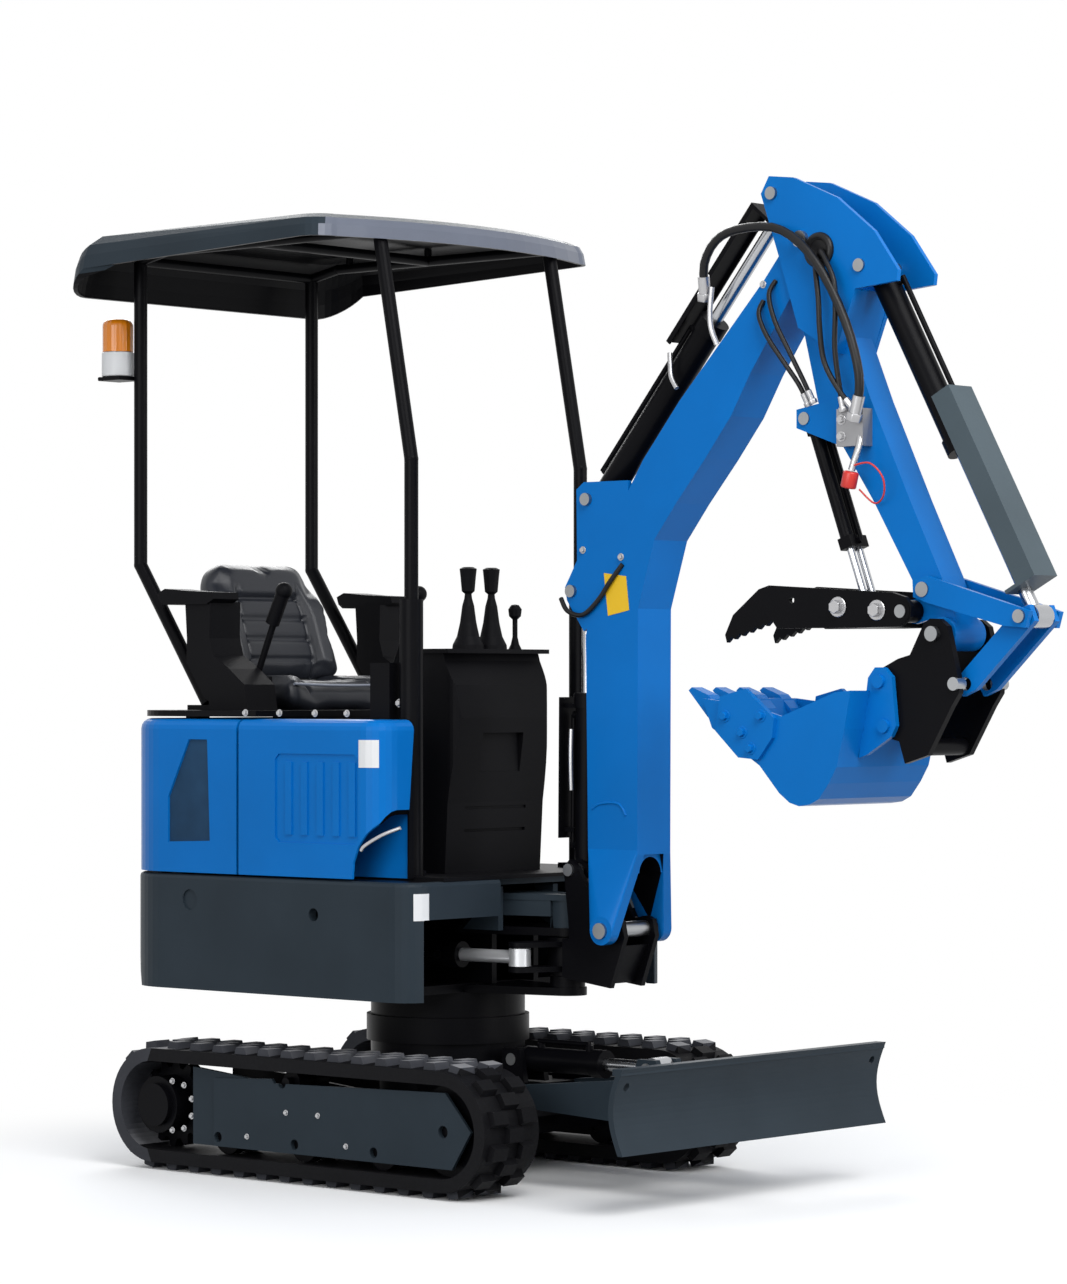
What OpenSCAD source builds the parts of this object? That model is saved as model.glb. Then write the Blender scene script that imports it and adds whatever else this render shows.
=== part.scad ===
// Mini excavator with a canopy, a kneed boom, a bucket and a hydraulic thumb.
// +X is forward, +Y is the machine's left side and +Z is up. The ground is at Z = 0.
// Places on the machine are measured forward of the slew axis, and slew_x sets that axis in the model.

/* [Place] */
// Slew axis, measured forward of the middle of the whole machine
slew_x = -410; // [-460:5:-360]

/* [Tracks] */
// Width over both tracks
machine_w = 930; // [860:5:1000]
// Width of one track
track_w = 180; // [160:5:200]
// Height of a track over its lugs
track_h = 298; // [280:2:320]
// Distance between sprocket and idler centres
wheel_base = 914; // [860:2:960]
// Middle of the track, measured back from the slew axis
track_back = 57; // [30:1:90]
// Thickness of the rubber belt without its lugs
belt_t = 30; // [24:1:34]
// Height of a lug
lug_h = 16; // [12:1:20]
// Number of lugs in each row of a track
lug_count = 36; // [30:1:44]
// Plain edge of the belt beside the lugs
lug_edge = 20; // [16:1:30]
// Radius of a bottom roller
roller_r = 42; // [34:1:44]

/* [Undercarriage] */
// Height of the floor of the middle frame above the ground
belly_z = 140; // [120:2:160]
// Radius of the slew pedestal
pedestal_r = 180; // [150:2:200]

/* [Blade] */
// Height of the blade plate
blade_h = 184; // [160:2:220]
// Height of the blade's lower edge above the ground when raised
blade_z = 134; // [110:2:160]
// Front of the blade, measured forward of the slew axis
blade_x = 925; // [880:5:960]
// Depth of the blade's hollow face
blade_hollow = 26; // [10:1:40]
// Radius of the holes at the blade's top corners
tie_hole_r = 9; // [6:0.5:12]

/* [House] */
// Height of the underside of the house
house_z = 424; // [410:2:440]
// Height of the top of the counterweight skirt
skirt_top = 690; // [670:2:710]
// Width of the house
house_w = 900; // [860:5:930]
// Tail of the house, measured back from the slew axis
tail_x = 657; // [620:1:690]
// Front of the deck, measured forward of the slew axis
deck_x = 295; // [280:1:305]
// Radius of the rear corners of the house
tail_r = 150; // [120:5:180]
// Height of the top of the engine hood
hood_top = 1052; // [1030:2:1070]
// Thickness of the hood panels
hood_t = 6; // [4:0.5:8]
// Rounding of the hood's upper edge
hood_round = 24; // [14:1:30]
// Front of the blue side cover, measured forward of the slew axis
cover_x = 205; // [190:1:215]
// Height of the top of the front console
console_top = 1203; // [1180:1:1220]

/* [Canopy] */
// Height of the lower rim of the canopy roof
roof_z = 2143; // [2080:5:2200]
// Width of the canopy roof
roof_w = 960; // [900:5:1000]
// Height of the roof's side band
roof_band = 54; // [40:1:60]
// Thickness of the roof shell
roof_t = 8; // [6:0.5:10]
// Radius of a canopy post
post_r = 16; // [13:0.5:19]
// Distance from the middle of the machine to a post
post_y = 293; // [280:1:305]

/* [Boom] */
// Distance from the slew axis to the kingpost
kingpost_x = 370; // [360:1:380]
// Distance from the slew axis to the boom's foot pin
foot_x = 558; // [552:1:570]
// Height of the boom's foot pin
foot_z = 581; // [576:1:590]
// Width of the boom's box section
boom_w = 116; // [100:2:124]
// Horizontal distance from the foot pin to the arm's pivot
boom_reach = 540; // [535:1:550]
// Vertical distance from the foot pin to the arm's pivot
boom_rise = 1508; // [1500:1:1520]

/* [Arm] */
// Width of the arm's box section
arm_w = 80; // [70:2:86]
// Horizontal distance from the arm's pivot to the bucket pin
arm_reach = 357; // [352:1:362]
// Vertical distance from the arm's pivot down to the bucket pin
arm_drop = 852; // [846:1:858]

/* [Bucket] */
// Width of the bucket
bucket_w = 330; // [300:5:400]
// Thickness of the bucket's side plates
bucket_t = 8; // [6:1:12]
// Width of a bucket tooth
tooth_w = 36; // [28:1:44]

/* [Pins and cylinders] */
// Radius of the main pins
pin_r = 14; // [12:0.5:15]
// Radius of a cylinder rod
rod_r = 15; // [12:0.5:17]
// Radius of a large cylinder barrel
barrel_r = 31; // [28:0.5:33]
// Radius of each of the two thumb barrels
thumb_r = 15; // [13:0.5:17]
// Radius of the thick hose over the arm's pivot
hose_r = 10; // [7:0.5:12]

/* [Hidden] */

// Gap round a moving round part, and the running fit of a pin in its bore
gap = 0.3;
fit = 0.05;

// Colours
paint_blue = [0.10, 0.44, 0.80];
paint_slate = [0.26, 0.31, 0.34];
paint_black = [0.07, 0.07, 0.08];
rubber = [0.12, 0.12, 0.13];
bright = [0.75, 0.76, 0.78];
amber = [0.95, 0.55, 0.08];
vinyl = [0.09, 0.09, 0.10];
grey_metal = [0.55, 0.56, 0.58];

// Track sizes that follow from the driving ones
track_r = track_h / 2;
belt_r = track_r - lug_h;
inner_r = belt_r - belt_t;
track_y = (machine_w - track_w) / 2;
straight = wheel_base;
loop_l = 2 * straight + 2 * PI * belt_r;

// Pins of the working equipment, as [distance forward of the slew axis, height]
foot = [foot_x, foot_z];
boom_base = [foot_x - 130, foot_z + 131];
boom_eye = [foot_x - 125, foot_z + 761];
arm_base = [foot_x - 80, foot_z + 967];
pivot = [foot_x + boom_reach, foot_z + boom_rise];
arm_eye = [pivot[0] - 81, pivot[1] + 105];
bucket_base = [pivot[0] + 155, pivot[1] - 66];
tip = [pivot[0] + arm_reach, pivot[1] - arm_drop];
rocker_pin = [tip[0] - 44, tip[1] + 94];
link_top = [tip[0] + 203, tip[1] + 35];
link_low = [tip[0] + 55, tip[1] - 105];
bucket_pin_top = [tip[0] - 131, tip[1] - 100];
bucket_pin_low = [tip[0] - 118, tip[1] - 194];
thumb_pin = [tip[0] - 80, tip[1] + 48];
thumb_base = [tip[0] - 371, tip[1] + 468];
thumb_eye = [tip[0] - 223, tip[1] + 62];
blade_hinge = [330, 200];
blade_base = [236, 272];
blade_eye = [640, 272];
swing_base = [-60, -150];
swing_eye = [kingpost_x - 35, -125];
swing_z = 514;

// Upright axis, heights and radius of the two hood hinges, at the front edge of the hood's left side
hood_hinge = [-250, house_w / 2 - 4];
hinge_z = [790, 960];
hinge_r = 7;

// Top of the slew ring, and radius of a thumb rod
ring_top = 365;
thumb_rod_r = 8;

// Route of the thick hose, smoothed through its corner points
hose_knots = [[822, -62, 1990], [838, -84, 2052], [882, -99, 2098], [945, -104, 2118], [1043, -104, 2116],
    [1116, -104, 2078], [1180, -102, 2006], [1236, -99, 1902], [1264, -95, 1812], [1266, -90, 1756],
        [1254, -87, 1712]];

// Curve through the knots, n points on each span
function smooth(k, n) = concat([for (i = [0 : len(k) - 2]) for (j = [0 : n - 1]) let (
    t = j / n, a = k[max(i - 1, 0)], b = k[i], c = k[i + 1], d = k[min(i + 2, len(k) - 1)])
    0.5 * (2 * b + (c - a) * t + (2 * a - 5 * b + 4 * c - d) * t * t + (3 * b - a - 3 * c + d) * t * t * t)],
    [k[len(k) - 1]]);

hose_path = smooth(hose_knots, 3);

// Points of an arc round c, from angle a to angle b in n steps
function arc(c, r, a, b, n) = [for (i = [0 : n]) let (t = a + (b - a) * i / n) c + r * [cos(t), sin(t)]];

function at_z(points, z) = [for (p = points) [p[0], p[1], z]];

// Closed skin through rings of equally many points, from the lowest ring up
module loft(rings) {
    n = len(rings[0]);
    m = len(rings);
    polyhedron(
        points = [for (ring = rings) each ring],
        faces = concat([[for (i = [0 : n - 1]) i]],
            [for (k = [0 : m - 2]) for (i = [0 : n - 1]) let (a = k * n + i, b = k * n + (i + 1) % n)
                each [[a, a + n, b], [b, a + n, b + n]]],
            [[for (i = [n - 1 : -1 : 0]) (m - 1) * n + i]]));
}

module at_slew() {
    translate([slew_x, 0, 0]) children();
}

// Flat plate with its outline in the XZ plane, centred on y
module plate(points, y, t) {
    translate([0, y + t / 2, 0])
        rotate([90, 0, 0])
            linear_extrude(t) polygon(points);
}

// Rounded bar along Y, centred on y
module cross_pin(p, r, w, y = 0) {
    translate([p[0], y + w / 2, p[1]])
        rotate([90, 0, 0])
            cylinder(r = r, h = w, $fn = 48);
}

// Round bar between two points in space
module bar(p, q, r) {
    d = q - p;
    l = norm(d);
    translate(p)
        rotate([0, acos(d[2] / l), atan2(d[1], d[0])])
            cylinder(r = r, h = l, $fn = 32);
}

// Turns its children so that their +Z runs from p to q in the XZ plane
module along(p, q) {
    translate([p[0], 0, p[1]])
        rotate([0, atan2(q[0] - p[0], q[1] - p[1]), 0]) children();
}

function reach(p, q) = norm(q - p);

// Points moved to the left of the way along a line of points, so a bent sheet keeps its thickness
function beside(pts, t) = [for (i = [0 : len(pts) - 1])
    let (a = pts[max(i - 1, 0)], b = pts[i], c = pts[min(i + 1, len(pts) - 1)],
        u = i > 0 ? (b - a) / norm(b - a) : (c - b) / norm(c - b),
        v = i < len(pts) - 1 ? (c - b) / norm(c - b) : u,
        m = (u + v) / norm(u + v), k = t / (u * m))
    b + k * [-m[1], m[0]]];

// Barrel of a hydraulic cylinder: eye at the origin, open end at length l
module barrel(l, r, eye_w, rod) {
    difference() {
        union() {
            rotate([90, 0, 0]) cylinder(r = pin_r + 11, h = eye_w, center = true, $fn = 48);
            translate([0, 0, pin_r + 5]) cylinder(r = r, h = l - pin_r - 5, $fn = 48);
            translate([0, 0, l - 34]) cylinder(r = r + 4, h = 34, $fn = 48);
            translate([-r - 10, 0, pin_r + 40]) rotate([0, 90, 0]) cylinder(r = 9, h = r, $fn = 24);
            translate([-r - 12, 0, l - 50]) rotate([0, 90, 0]) cylinder(r = 9, h = r, $fn = 24);
            translate([-r - 14, 0, pin_r + 34]) cylinder(r = 6, h = l - pin_r - 84, $fn = 24);
        }
        rotate([90, 0, 0]) cylinder(r = pin_r + fit, h = eye_w + 2, center = true, $fn = 48);
        translate([0, 0, pin_r + 30]) cylinder(r = rod + gap, h = l, $fn = 48);
    }
}

// Rod of a hydraulic cylinder: eye at length l, inner end at start
module rod(l, start, eye_w, r) {
    difference() {
        union() {
            translate([0, 0, start]) cylinder(r = r, h = l - start, $fn = 48);
            translate([0, 0, l]) rotate([90, 0, 0])
                cylinder(r = pin_r + 11, h = eye_w, center = true, $fn = 48);
        }
        translate([0, 0, l]) rotate([90, 0, 0])
            cylinder(r = pin_r + fit, h = eye_w + 2, center = true, $fn = 48);
    }
}

// Point at distance s along a track's belt, h outside the belt's outer face
function loop_point(s, h) =
    let (r = belt_r, a = PI * r, t = (s % loop_l + loop_l) % loop_l)
    t < straight ? [-straight / 2 + t, r + h]
    : t < straight + a
        ? let (g = 90 - (t - straight) / r * 180 / PI) [straight / 2 + (r + h) * cos(g), (r + h) * sin(g)]
    : t < 2 * straight + a ? [straight / 2 - (t - straight - a), -r - h]
    : let (g = 270 - (t - 2 * straight - a) / r * 180 / PI)
        [-straight / 2 + (r + h) * cos(g), (r + h) * sin(g)];

// Outline of one row of lugs, rooted in the belt and shifted along the loop by a share of the pitch
function lug_outline(shift) =
    let (p = loop_l / lug_count)
    [for (i = [0 : lug_count - 1])
        for (c = [[0, -4], [0.44, -4], [0.53, lug_h], [0.89, lug_h]])
            loop_point((i + c[0] + shift) * p, c[1])];

module stadium(r) {
    hull() {
        translate([-straight / 2, 0]) circle(r = r, $fn = 48);
        translate([straight / 2, 0]) circle(r = r, $fn = 48);
    }
}

// One rubber track: a belt with plain edges and three rows of lugs, the middle row between the others
module track(side) {
    row = (track_w - 2 * lug_edge) / 3;
    color(rubber) at_slew() translate([-track_back, side * track_y, track_r])
        rotate([90, 0, 0]) difference() {
        union() {
            linear_extrude(track_w, center = true) stadium(belt_r);
            for (k = [-1 : 1])
                translate([0, 0, (k - 0.5) * row]) linear_extrude(row) polygon(lug_outline(k == 0 ? 0.5 : 0));
        }
        linear_extrude(track_w + 2, center = true) stadium(inner_r);
    }
}

// Toothed drive wheel, its hub cover and the motor behind it
module sprocket(side) {
    teeth = 14;
    tooth_r = inner_r - gap;
    root_r = tooth_r - 18;
    color(paint_black) at_slew() translate([-track_back - wheel_base / 2, side * track_y, track_r]) {
        rotate([90, 0, 0])
            linear_extrude(30, center = true)
                polygon([for (i = [0 : teeth - 1], c = [[0, 0], [0.22, 1], [0.5, 1], [0.72, 0]])
                    let (a = (i + c[0]) * 360 / teeth, r = root_r + c[1] * (tooth_r - root_r))
                    [r * cos(a), r * sin(a)]]);
        rotate([side * 90, 0, 0]) {
            translate([0, 0, -70]) cylinder(r = 66, h = 70, $fn = 64);
            translate([0, 0, -84]) cylinder(r = 50, h = 20, $fn = 64);
            cylinder(r = 58, h = 86, $fn = 64);
        }
    }
}

function roller_x() = [-track_back - wheel_base * 0.27, -track_back, -track_back + wheel_base * 0.27];

module spool(p, r, y) {
    cross_pin(p, 12, 132, y);
    for (s = [-1, 1]) cross_pin(p, r, 34, y + s * 30);
    cross_pin(p, r - 12, 60, y);
}

// Bottom rollers, the top roller and the front idler of one side
module rollers(side) {
    y = side * track_y;
    z = track_r - inner_r + roller_r + gap;
    color(paint_black) at_slew() {
        for (x = roller_x()) spool([x, z], roller_r, y);
        spool([-track_back - 40, track_r + inner_r - 27 - gap], 27, y);
        idler = [-track_back + wheel_base / 2, track_r];
        cross_pin(idler, 14, 132, y);
        for (s = [-1, 1]) cross_pin(idler, inner_r - gap, 34, y + s * 30);
        cross_pin(idler, inner_r - 22, 60, y);
    }
}

// Side beam inside a track, with its cover plate and roller brackets
module track_frame(side) {
    y = side * track_y;
    x0 = -track_back - wheel_base / 2;
    x1 = -track_back + wheel_base / 2;
    roller_z = track_r - inner_r + roller_r + gap;
    top_z = track_r + inner_r - 27 - gap;
    cover = [
        [x0 + 196, track_r - 82], [x1 + 26, track_r - 82], [x1 + 82, track_r + 4], [x1 + 6, track_r + 86],
        [x0 + 392, track_r + 74], [x0 + 384, track_r + 84], [x0 + 196, track_r + 74]
    ];
    color(paint_slate) at_slew() difference() {
        union() {
            plate(cover, y + side * 74, 8);
            for (s = [-1, 1])
                plate([[x0 + 120, roller_z - 22], [x1 - 60, roller_z - 22], [x1 + 30, track_r - 24],
                    [x1 + 30, track_r + 24], [x0 + 120, top_z + 20]], y + s * 64, 12);
        }
        for (x = roller_x()) cross_pin([x, roller_z], 12 + fit, 200, y);
        cross_pin([-track_back - 40, top_z], 12 + fit, 200, y);
        cross_pin([x1, track_r], 14 + fit, 200, y);
        cross_pin([x0, track_r], 68 + gap, 200, y);
    }
}

// Middle frame: pedestal, cross beams, motor carriers and blade brackets
module undercarriage_frame() {
    beam_z = track_r - 30;
    inner = track_y - 70;
    color(paint_black) at_slew() difference() {
        union() {
            translate([0, 0, belly_z]) cylinder(r = pedestal_r, h = ring_top - 60 - belly_z, $fn = 96);
            translate([-track_back - 300, -170, belly_z]) cube([640, 340, 76]);
            for (x = [-track_back - 250, -track_back + 190])
                translate([x, -inner, beam_z - 30]) cube([70, 2 * inner, 70]);
            for (s = [-1, 1])
                plate([[200, belly_z], [blade_hinge[0] + 26, blade_hinge[1] - 26],
                    [blade_hinge[0] + 26, blade_hinge[1] + 26], [200, belly_z + 90]], s * 150, 20);
            for (s = [-1, 1])
                plate([[blade_base[0] - 30, belly_z + 80], [blade_base[0] + 40, belly_z + 80],
                    [blade_base[0] + 26, blade_base[1] + 24], [blade_base[0] - 26, blade_base[1] + 24]],
                        s * 36, 16);
        }
        for (s = [-1, 1]) cross_pin(blade_hinge, pin_r + fit, 60, s * 150);
        cross_pin(blade_base, pin_r + fit, 100);
    }
    color(bright) at_slew() cross_pin(blade_base, pin_r, 92);
}

module slew_ring() {
    color(grey_metal) at_slew() translate([0, 0, ring_top - 60])
        cylinder(r = pedestal_r + 10, h = 60, $fn = 96);
}

// Dozer blade with its two arms
module blade() {
    back = blade_x - 14;
    z0 = blade_z;
    z1 = blade_z + blade_h;
    face = [for (i = [0 : 12]) let (t = i / 12)
        [blade_x - blade_hollow * sin(180 * t), z0 + blade_h * t]];
    rear = [for (i = [12 : -1 : 0]) let (t = i / 12)
        [back - blade_hollow * sin(180 * t), z0 + blade_h * t]];
    color(paint_slate) at_slew() difference() {
        union() {
            plate(concat(face, rear), 0, machine_w);
            translate([back - 14, -machine_w / 2, z1 - 14]) cube([24, machine_w, 14]);
            for (s = [-1, 1]) {
                plate([[blade_hinge[0] - 24, blade_hinge[1] - 22], [blade_x - 40, z0 + 16],
                    [blade_x - 36, z1 - 40], [blade_hinge[0] - 24, blade_hinge[1] + 22]], s * 118, 40);
                plate([[blade_x - 150, z0 + 40], [blade_x - 34, z0 + 10],
                    [blade_x - 30, z1 - 20]], s * 280, 12);
            }
            for (s = [-1, 1])
                plate([[blade_eye[0] - 26, blade_eye[1] + 22], [blade_eye[0] + 26, blade_eye[1] + 22],
                    [blade_eye[0] + 60, 200], [blade_eye[0] - 60, 200]], s * 36, 16);
            translate([blade_eye[0] - 50, -100, 176]) cube([100, 200, 30]);
        }
        cross_pin(blade_eye, pin_r + fit, 100);
        for (s = [-1, 1]) cross_pin(blade_hinge, pin_r + fit, 60, s * 118);
        for (s = [-1, 1])
            translate([blade_x - 60, s * (machine_w / 2 - 32), z1 - 40]) rotate([0, 90, 0])
                cylinder(r = tie_hole_r, h = 100, $fn = 32);
    }
    color(bright) at_slew() for (s = [-1, 1]) {
        cross_pin(blade_hinge, pin_r, 74, s * 132);
        cross_pin(blade_eye, pin_r, 20, s * 38);
    }
}

module blade_barrel() {
    color(paint_black) at_slew() along(blade_base, blade_eye) barrel(250, barrel_r - 3, 52, rod_r);
}

module blade_rod() {
    l = reach(blade_base, blade_eye);
    color(bright) at_slew() along(blade_base, blade_eye) rod(l, 150, 52, rod_r);
}

// Outline of the house seen from above
function house_points(inset = 0, front = deck_x) =
    let (w = house_w / 2 - inset, r = tail_r - inset, f = 60 - inset, x0 = r + inset - tail_x,
        x1 = front - inset - f)
    concat(arc([x1, w - f], f, 0, 90, 6), arc([x0, w - r], r, 90, 180, 12),
        arc([x0, r - w], r, 180, 270, 12), arc([x1, f - w], f, 270, 360, 6));

module house_outline(inset = 0) {
    polygon(house_points(inset));
}

module counterweight() {
    side = house_w / 2;
    color(paint_slate) at_slew() difference() {
        loft([for (p = [[house_z, 0], [skirt_top - 9, 0], [skirt_top - 3, 2], [skirt_top, 8]])
            at_z(house_points(p[1]), p[0])]);
        translate([0, 0, house_z - 1]) linear_extrude(skirt_top - house_z + 2)
            intersection() {
                house_outline(24);
                translate([-380, -house_w]) square([900, 2 * house_w]);
            }
        plate([[-tail_x - 1, skirt_top - 84], [-tail_x - 1, house_z - 1],
            [-tail_x + 72, house_z - 1]], 0, 2 * house_w);
        translate([60, 50 - side, house_z - 1]) cube([400, house_w - 100, 184]);
        translate([200, -145, house_z - 1]) cube([400, 290, 400]);
        translate([0, 50 - side, 611]) rotate([90, 0, 0]) cylinder(r = 15, h = 100, $fn = 32);
        for (s = [-1, 1]) cross_pin([-400, 632], 24, 10, s * side);
    }
}

module house_frame() {
    color(paint_black) at_slew() difference() {
        union() {
            translate([0, 0, house_z]) linear_extrude(20) intersection() {
                house_outline(24);
                translate([-378, -house_w]) square([520, 2 * house_w]);
            }
            translate([0, 0, skirt_top - 14]) linear_extrude(14) intersection() {
                house_outline(24);
                translate([-378, -house_w]) square([900, 2 * house_w]);
            }
            translate([0, 0, ring_top + gap])
                cylinder(r = pedestal_r, h = house_z - ring_top - gap, $fn = 96);
            for (y = [-50, 95]) translate([-370, y - 8, house_z + 20])
                cube([560, 16, skirt_top - 34 - house_z]);
            // Nose that carries the kingpost
            translate([0, 0, house_z]) linear_extrude(18) nose_outline();
            translate([0, 0, 560]) linear_extrude(18) nose_outline();
            translate([0, 0, skirt_top - 50]) linear_extrude(14) nose_outline();
            for (s = [-1, 1]) translate([140, s * 95 - 8, 570]) cube([110, 16, 100]);
            for (s = [-1, 1]) translate([120, s * 98, 604]) rotate([0, 0, -s * 13.3])
                translate([0, -5, 0]) cube([244, 10, skirt_top - 49 - 604]);
            translate([kingpost_x, 0, house_z]) cylinder(r = 40, h = 44, $fn = 64);
            translate([kingpost_x, 0, 558]) cylinder(r = 40, h = 90, $fn = 64);
            for (z = [470, 540]) translate([swing_base[0], swing_base[1], z])
                cylinder(r = 30, h = 18, $fn = 32);
            translate([swing_base[0], swing_base[1], 480]) cylinder(r = pin_r, h = 68, $fn = 48);
        }
        translate([kingpost_x, 0, house_z - 1]) cylinder(r = pin_r + 8 + fit, h = 300, $fn = 48);
    }
}

module nose_outline() {
    hull() {
        translate([120, -103]) square([10, 206]);
        translate([kingpost_x, 0]) circle(r = 44, $fn = 64);
    }
}

// Fixed cover along the right side, over the tanks
module side_cover() {
    y0 = -house_w / 2;
    panel = [[-112, 772], [125, 772], [137, 784], [137, 962], [125, 974], [-112, 974], [-124, 962],
        [-124, 784]];
    color(paint_blue) at_slew() difference() {
        intersection() {
            loft(hood_rings(cover_x));
            translate([-242, y0 - 50, skirt_top]) cube([600, 165, 500]);
        }
        intersection() {
            loft(hood_hollow(cover_x));
            translate([-230, y0 - 50, skirt_top - 2]) cube([600, 165 - hood_t, 500]);
        }
        plate([[cover_x + 9, skirt_top], [119, skirt_top], [122, 730], [136, 765], [160, 796], [188, 822],
            [200, 845], [cover_x + 9, 870]], y0, 200);
        translate([0, y0 + 6, 0]) rotate([90, 0, 0]) linear_extrude(10) difference() {
            polygon(panel);
            for (x = [-92 : 50 : 110]) translate([x, 790]) square([20, 166]);
        }
    }
}

// Rings of the hood's outer skin and of the space inside it
function hood_rings(front) = [for (p = [[skirt_top + 5, 0], [hood_top - hood_round, 0],
    [hood_top - 0.62 * hood_round, 0.08],
    [hood_top - 0.3 * hood_round, 0.3], [hood_top - 0.08 * hood_round, 0.62], [hood_top, 1]])
        at_z(house_points(2 + hood_round * p[1], front), p[0])];

function hood_hollow(front) = [for (p = [[skirt_top - 1, 0], [hood_top - hood_round - hood_t, 0],
    [hood_top - hood_t - 0.3 * hood_round, 0.3], [hood_top - hood_t, 0.9]])
        at_z(house_points(2 + hood_t + (hood_round - hood_t) * p[1], front), p[0])];

vent = [[-475, 765], [-475, 870], [-406, 1004], [-345, 1004], [-336, 770]];

// Rear hood with a window on each side, which swings open on its left edge
module rear_hood() {
    color(paint_blue) at_slew() {
        difference() {
            loft(hood_rings(deck_x));
            loft(hood_hollow(deck_x));
            translate([0, 0, hood_top - 40]) linear_extrude(80) house_outline(2 + hood_round + 8);
            translate([hood_hinge[0], -house_w, skirt_top - 2]) cube([900, 2 * house_w, 500]);
            for (s = [-1, 1]) plate(vent, s * (house_w / 2 - 10), 40);
            for (z = hinge_z) translate([hood_hinge[0], hood_hinge[1], z - 15])
                cylinder(r = hinge_r + 1.5, h = 30);
        }
        for (z = hinge_z, k = [-1, 1]) translate([hood_hinge[0], hood_hinge[1], z + k * 30 - 14])
            cylinder(r = hinge_r, h = 28, $fn = 32);
    }
}

// Dark panels behind the hood's two windows
module hood_grilles() {
    color(paint_black) at_slew() for (s = [-1, 1])
        plate([for (p = vent) [-405, 880] + 1.12 * (p - [-405, 880])], s * (house_w / 2 - 2 - hood_t - 2), 4);
}

module engine_block() {
    color(grey_metal) at_slew() translate([-560, -190, skirt_top]) cube([290, 380, 300]);
}

module floor_plate() {
    color(paint_black) at_slew() translate([-240, 120 - house_w / 2, skirt_top])
        cube([530, house_w - 160, 8]);
}

// Front console with its travel lever plate
module console() {
    low = skirt_top + 8;
    side = [[70, low], [141, low], [150, 860], [170, 990], [178, 1055], [168, 1130], [141, console_top - 17],
        [136, console_top], [70, console_top]];
    color(paint_black) at_slew() {
        difference() {
            intersection() {
                plate(side, 0, 330);
                translate([0, 0, low - 1]) linear_extrude(console_top - low + 2)
                    polygon(concat([[60, 165], [60, -165]], arc([150, -135], 30, 270, 350, 6),
                        arc([150, 135], 30, 10, 90, 6)));
            }
            for (z = [792, 844]) translate([140 + (z - 792) * 0.1, -105, z]) cube([30, 210, 7]);
            translate([158, -70, 930]) cube([30, 140, 90]);
        }
        translate([40, 0, console_top]) linear_extrude(10)
            polygon([[0, -165], [10, -175], [120, -175], [130, -165], [130, 165], [120, 175], [10, 175],
                [0, 165]]);
    }
}

module travel_levers() {
    base = console_top + 10;
    color(paint_black) at_slew() {
        for (s = [-1, 1]) translate([100, s * 40, base]) rotate_extrude($fn = 40)
            polygon([[0, 0], [37, 0], [36, 10], [26, 30], [19, 62], [14, 100], [9, 118], [8, 128],
                [15, 134], [18, 168], [20, 186], [12, 190], [0, 190]]);
        translate([110, 112, base]) rotate_extrude($fn = 32)
            polygon([[0, 0], [16, 0], [10, 12], [6, 30], [6, 70], [14, 78], [16, 94], [9, 104], [0, 106]]);
    }
}

module seat_base() {
    y0 = 116 - house_w / 2;
    color(paint_black) at_slew() {
        translate([-244, y0, skirt_top + 8]) cube([20, house_w - 160, hood_top - skirt_top - 8]);
        translate([0, 0, hood_top + 5]) linear_extrude(14) intersection() {
            house_outline(16);
            translate([-660, -house_w]) square([460, 2 * house_w]);
        }
        translate([-244, y0, hood_top - 10]) cube([20, house_w - 160, 15]);
        for (s = [-1, 1]) translate([-600, s * 250 - 20, skirt_top]) cube([40, 40, hood_top + 5 - skirt_top]);
        // Fixed halves of the hood's two hinges
        for (z = hinge_z) {
            translate([hood_hinge[0], hood_hinge[1], z - 14 + gap])
                cylinder(r = hinge_r, h = 28 - 2 * gap, $fn = 32);
            translate([hood_hinge[0] + 4, hood_hinge[1] - 46, z - 14 + gap]) cube([6, 48, 28 - 2 * gap]);
        }
    }
}

module seat_cushions() {
    top = hood_top + 19;
    color(vinyl) at_slew() {
        plate([[-600, top], [-330, top], [-316, top + 24], [-320, top + 62], [-345, top + 78],
            [-600, top + 70]], 0, 400);
        plate([[-600, top], [-520, top + 60], [-590, top + 215], [-622, top + 345], [-652, 1441],
            [-690, 1441],
            [-706, 1420], [-664, top + 180], [-650, top]], 0, 380);
    }
}

module control_box(side) {
    top = hood_top + 19;
    y = side * 305;
    lever = [-411, side * 232, 1150];
    grip = [-309, side * 232, 1351];
    color(paint_black) at_slew() {
        plate([[-450, top], [-322, top], [-332, top + 60], [-382, 1168], [-436, 1200], [-448, 1240],
            [-446, 1326],
            [-530, 1326], [-524, 1240], [-526, 1184], [-466, 1100], [-450, 1092]], y - side * 15, 100);
        plate([[-610, 1330], [-596, 1320], [-452, 1320], [-428, 1332], [-432, 1348], [-520, 1352],
            [-592, 1358],
            [-616, 1348]], y, 84);
        bar(lever - [6, 0, 40], grip, 8);
        bar(lever + 0.62 * (grip - lever), grip, 17);
        translate(grip) sphere(r = 20, $fn = 32);
        translate([-420, side * 240 - 20, top]) cube([60, 40, 1150 - top]);
    }
}

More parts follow.
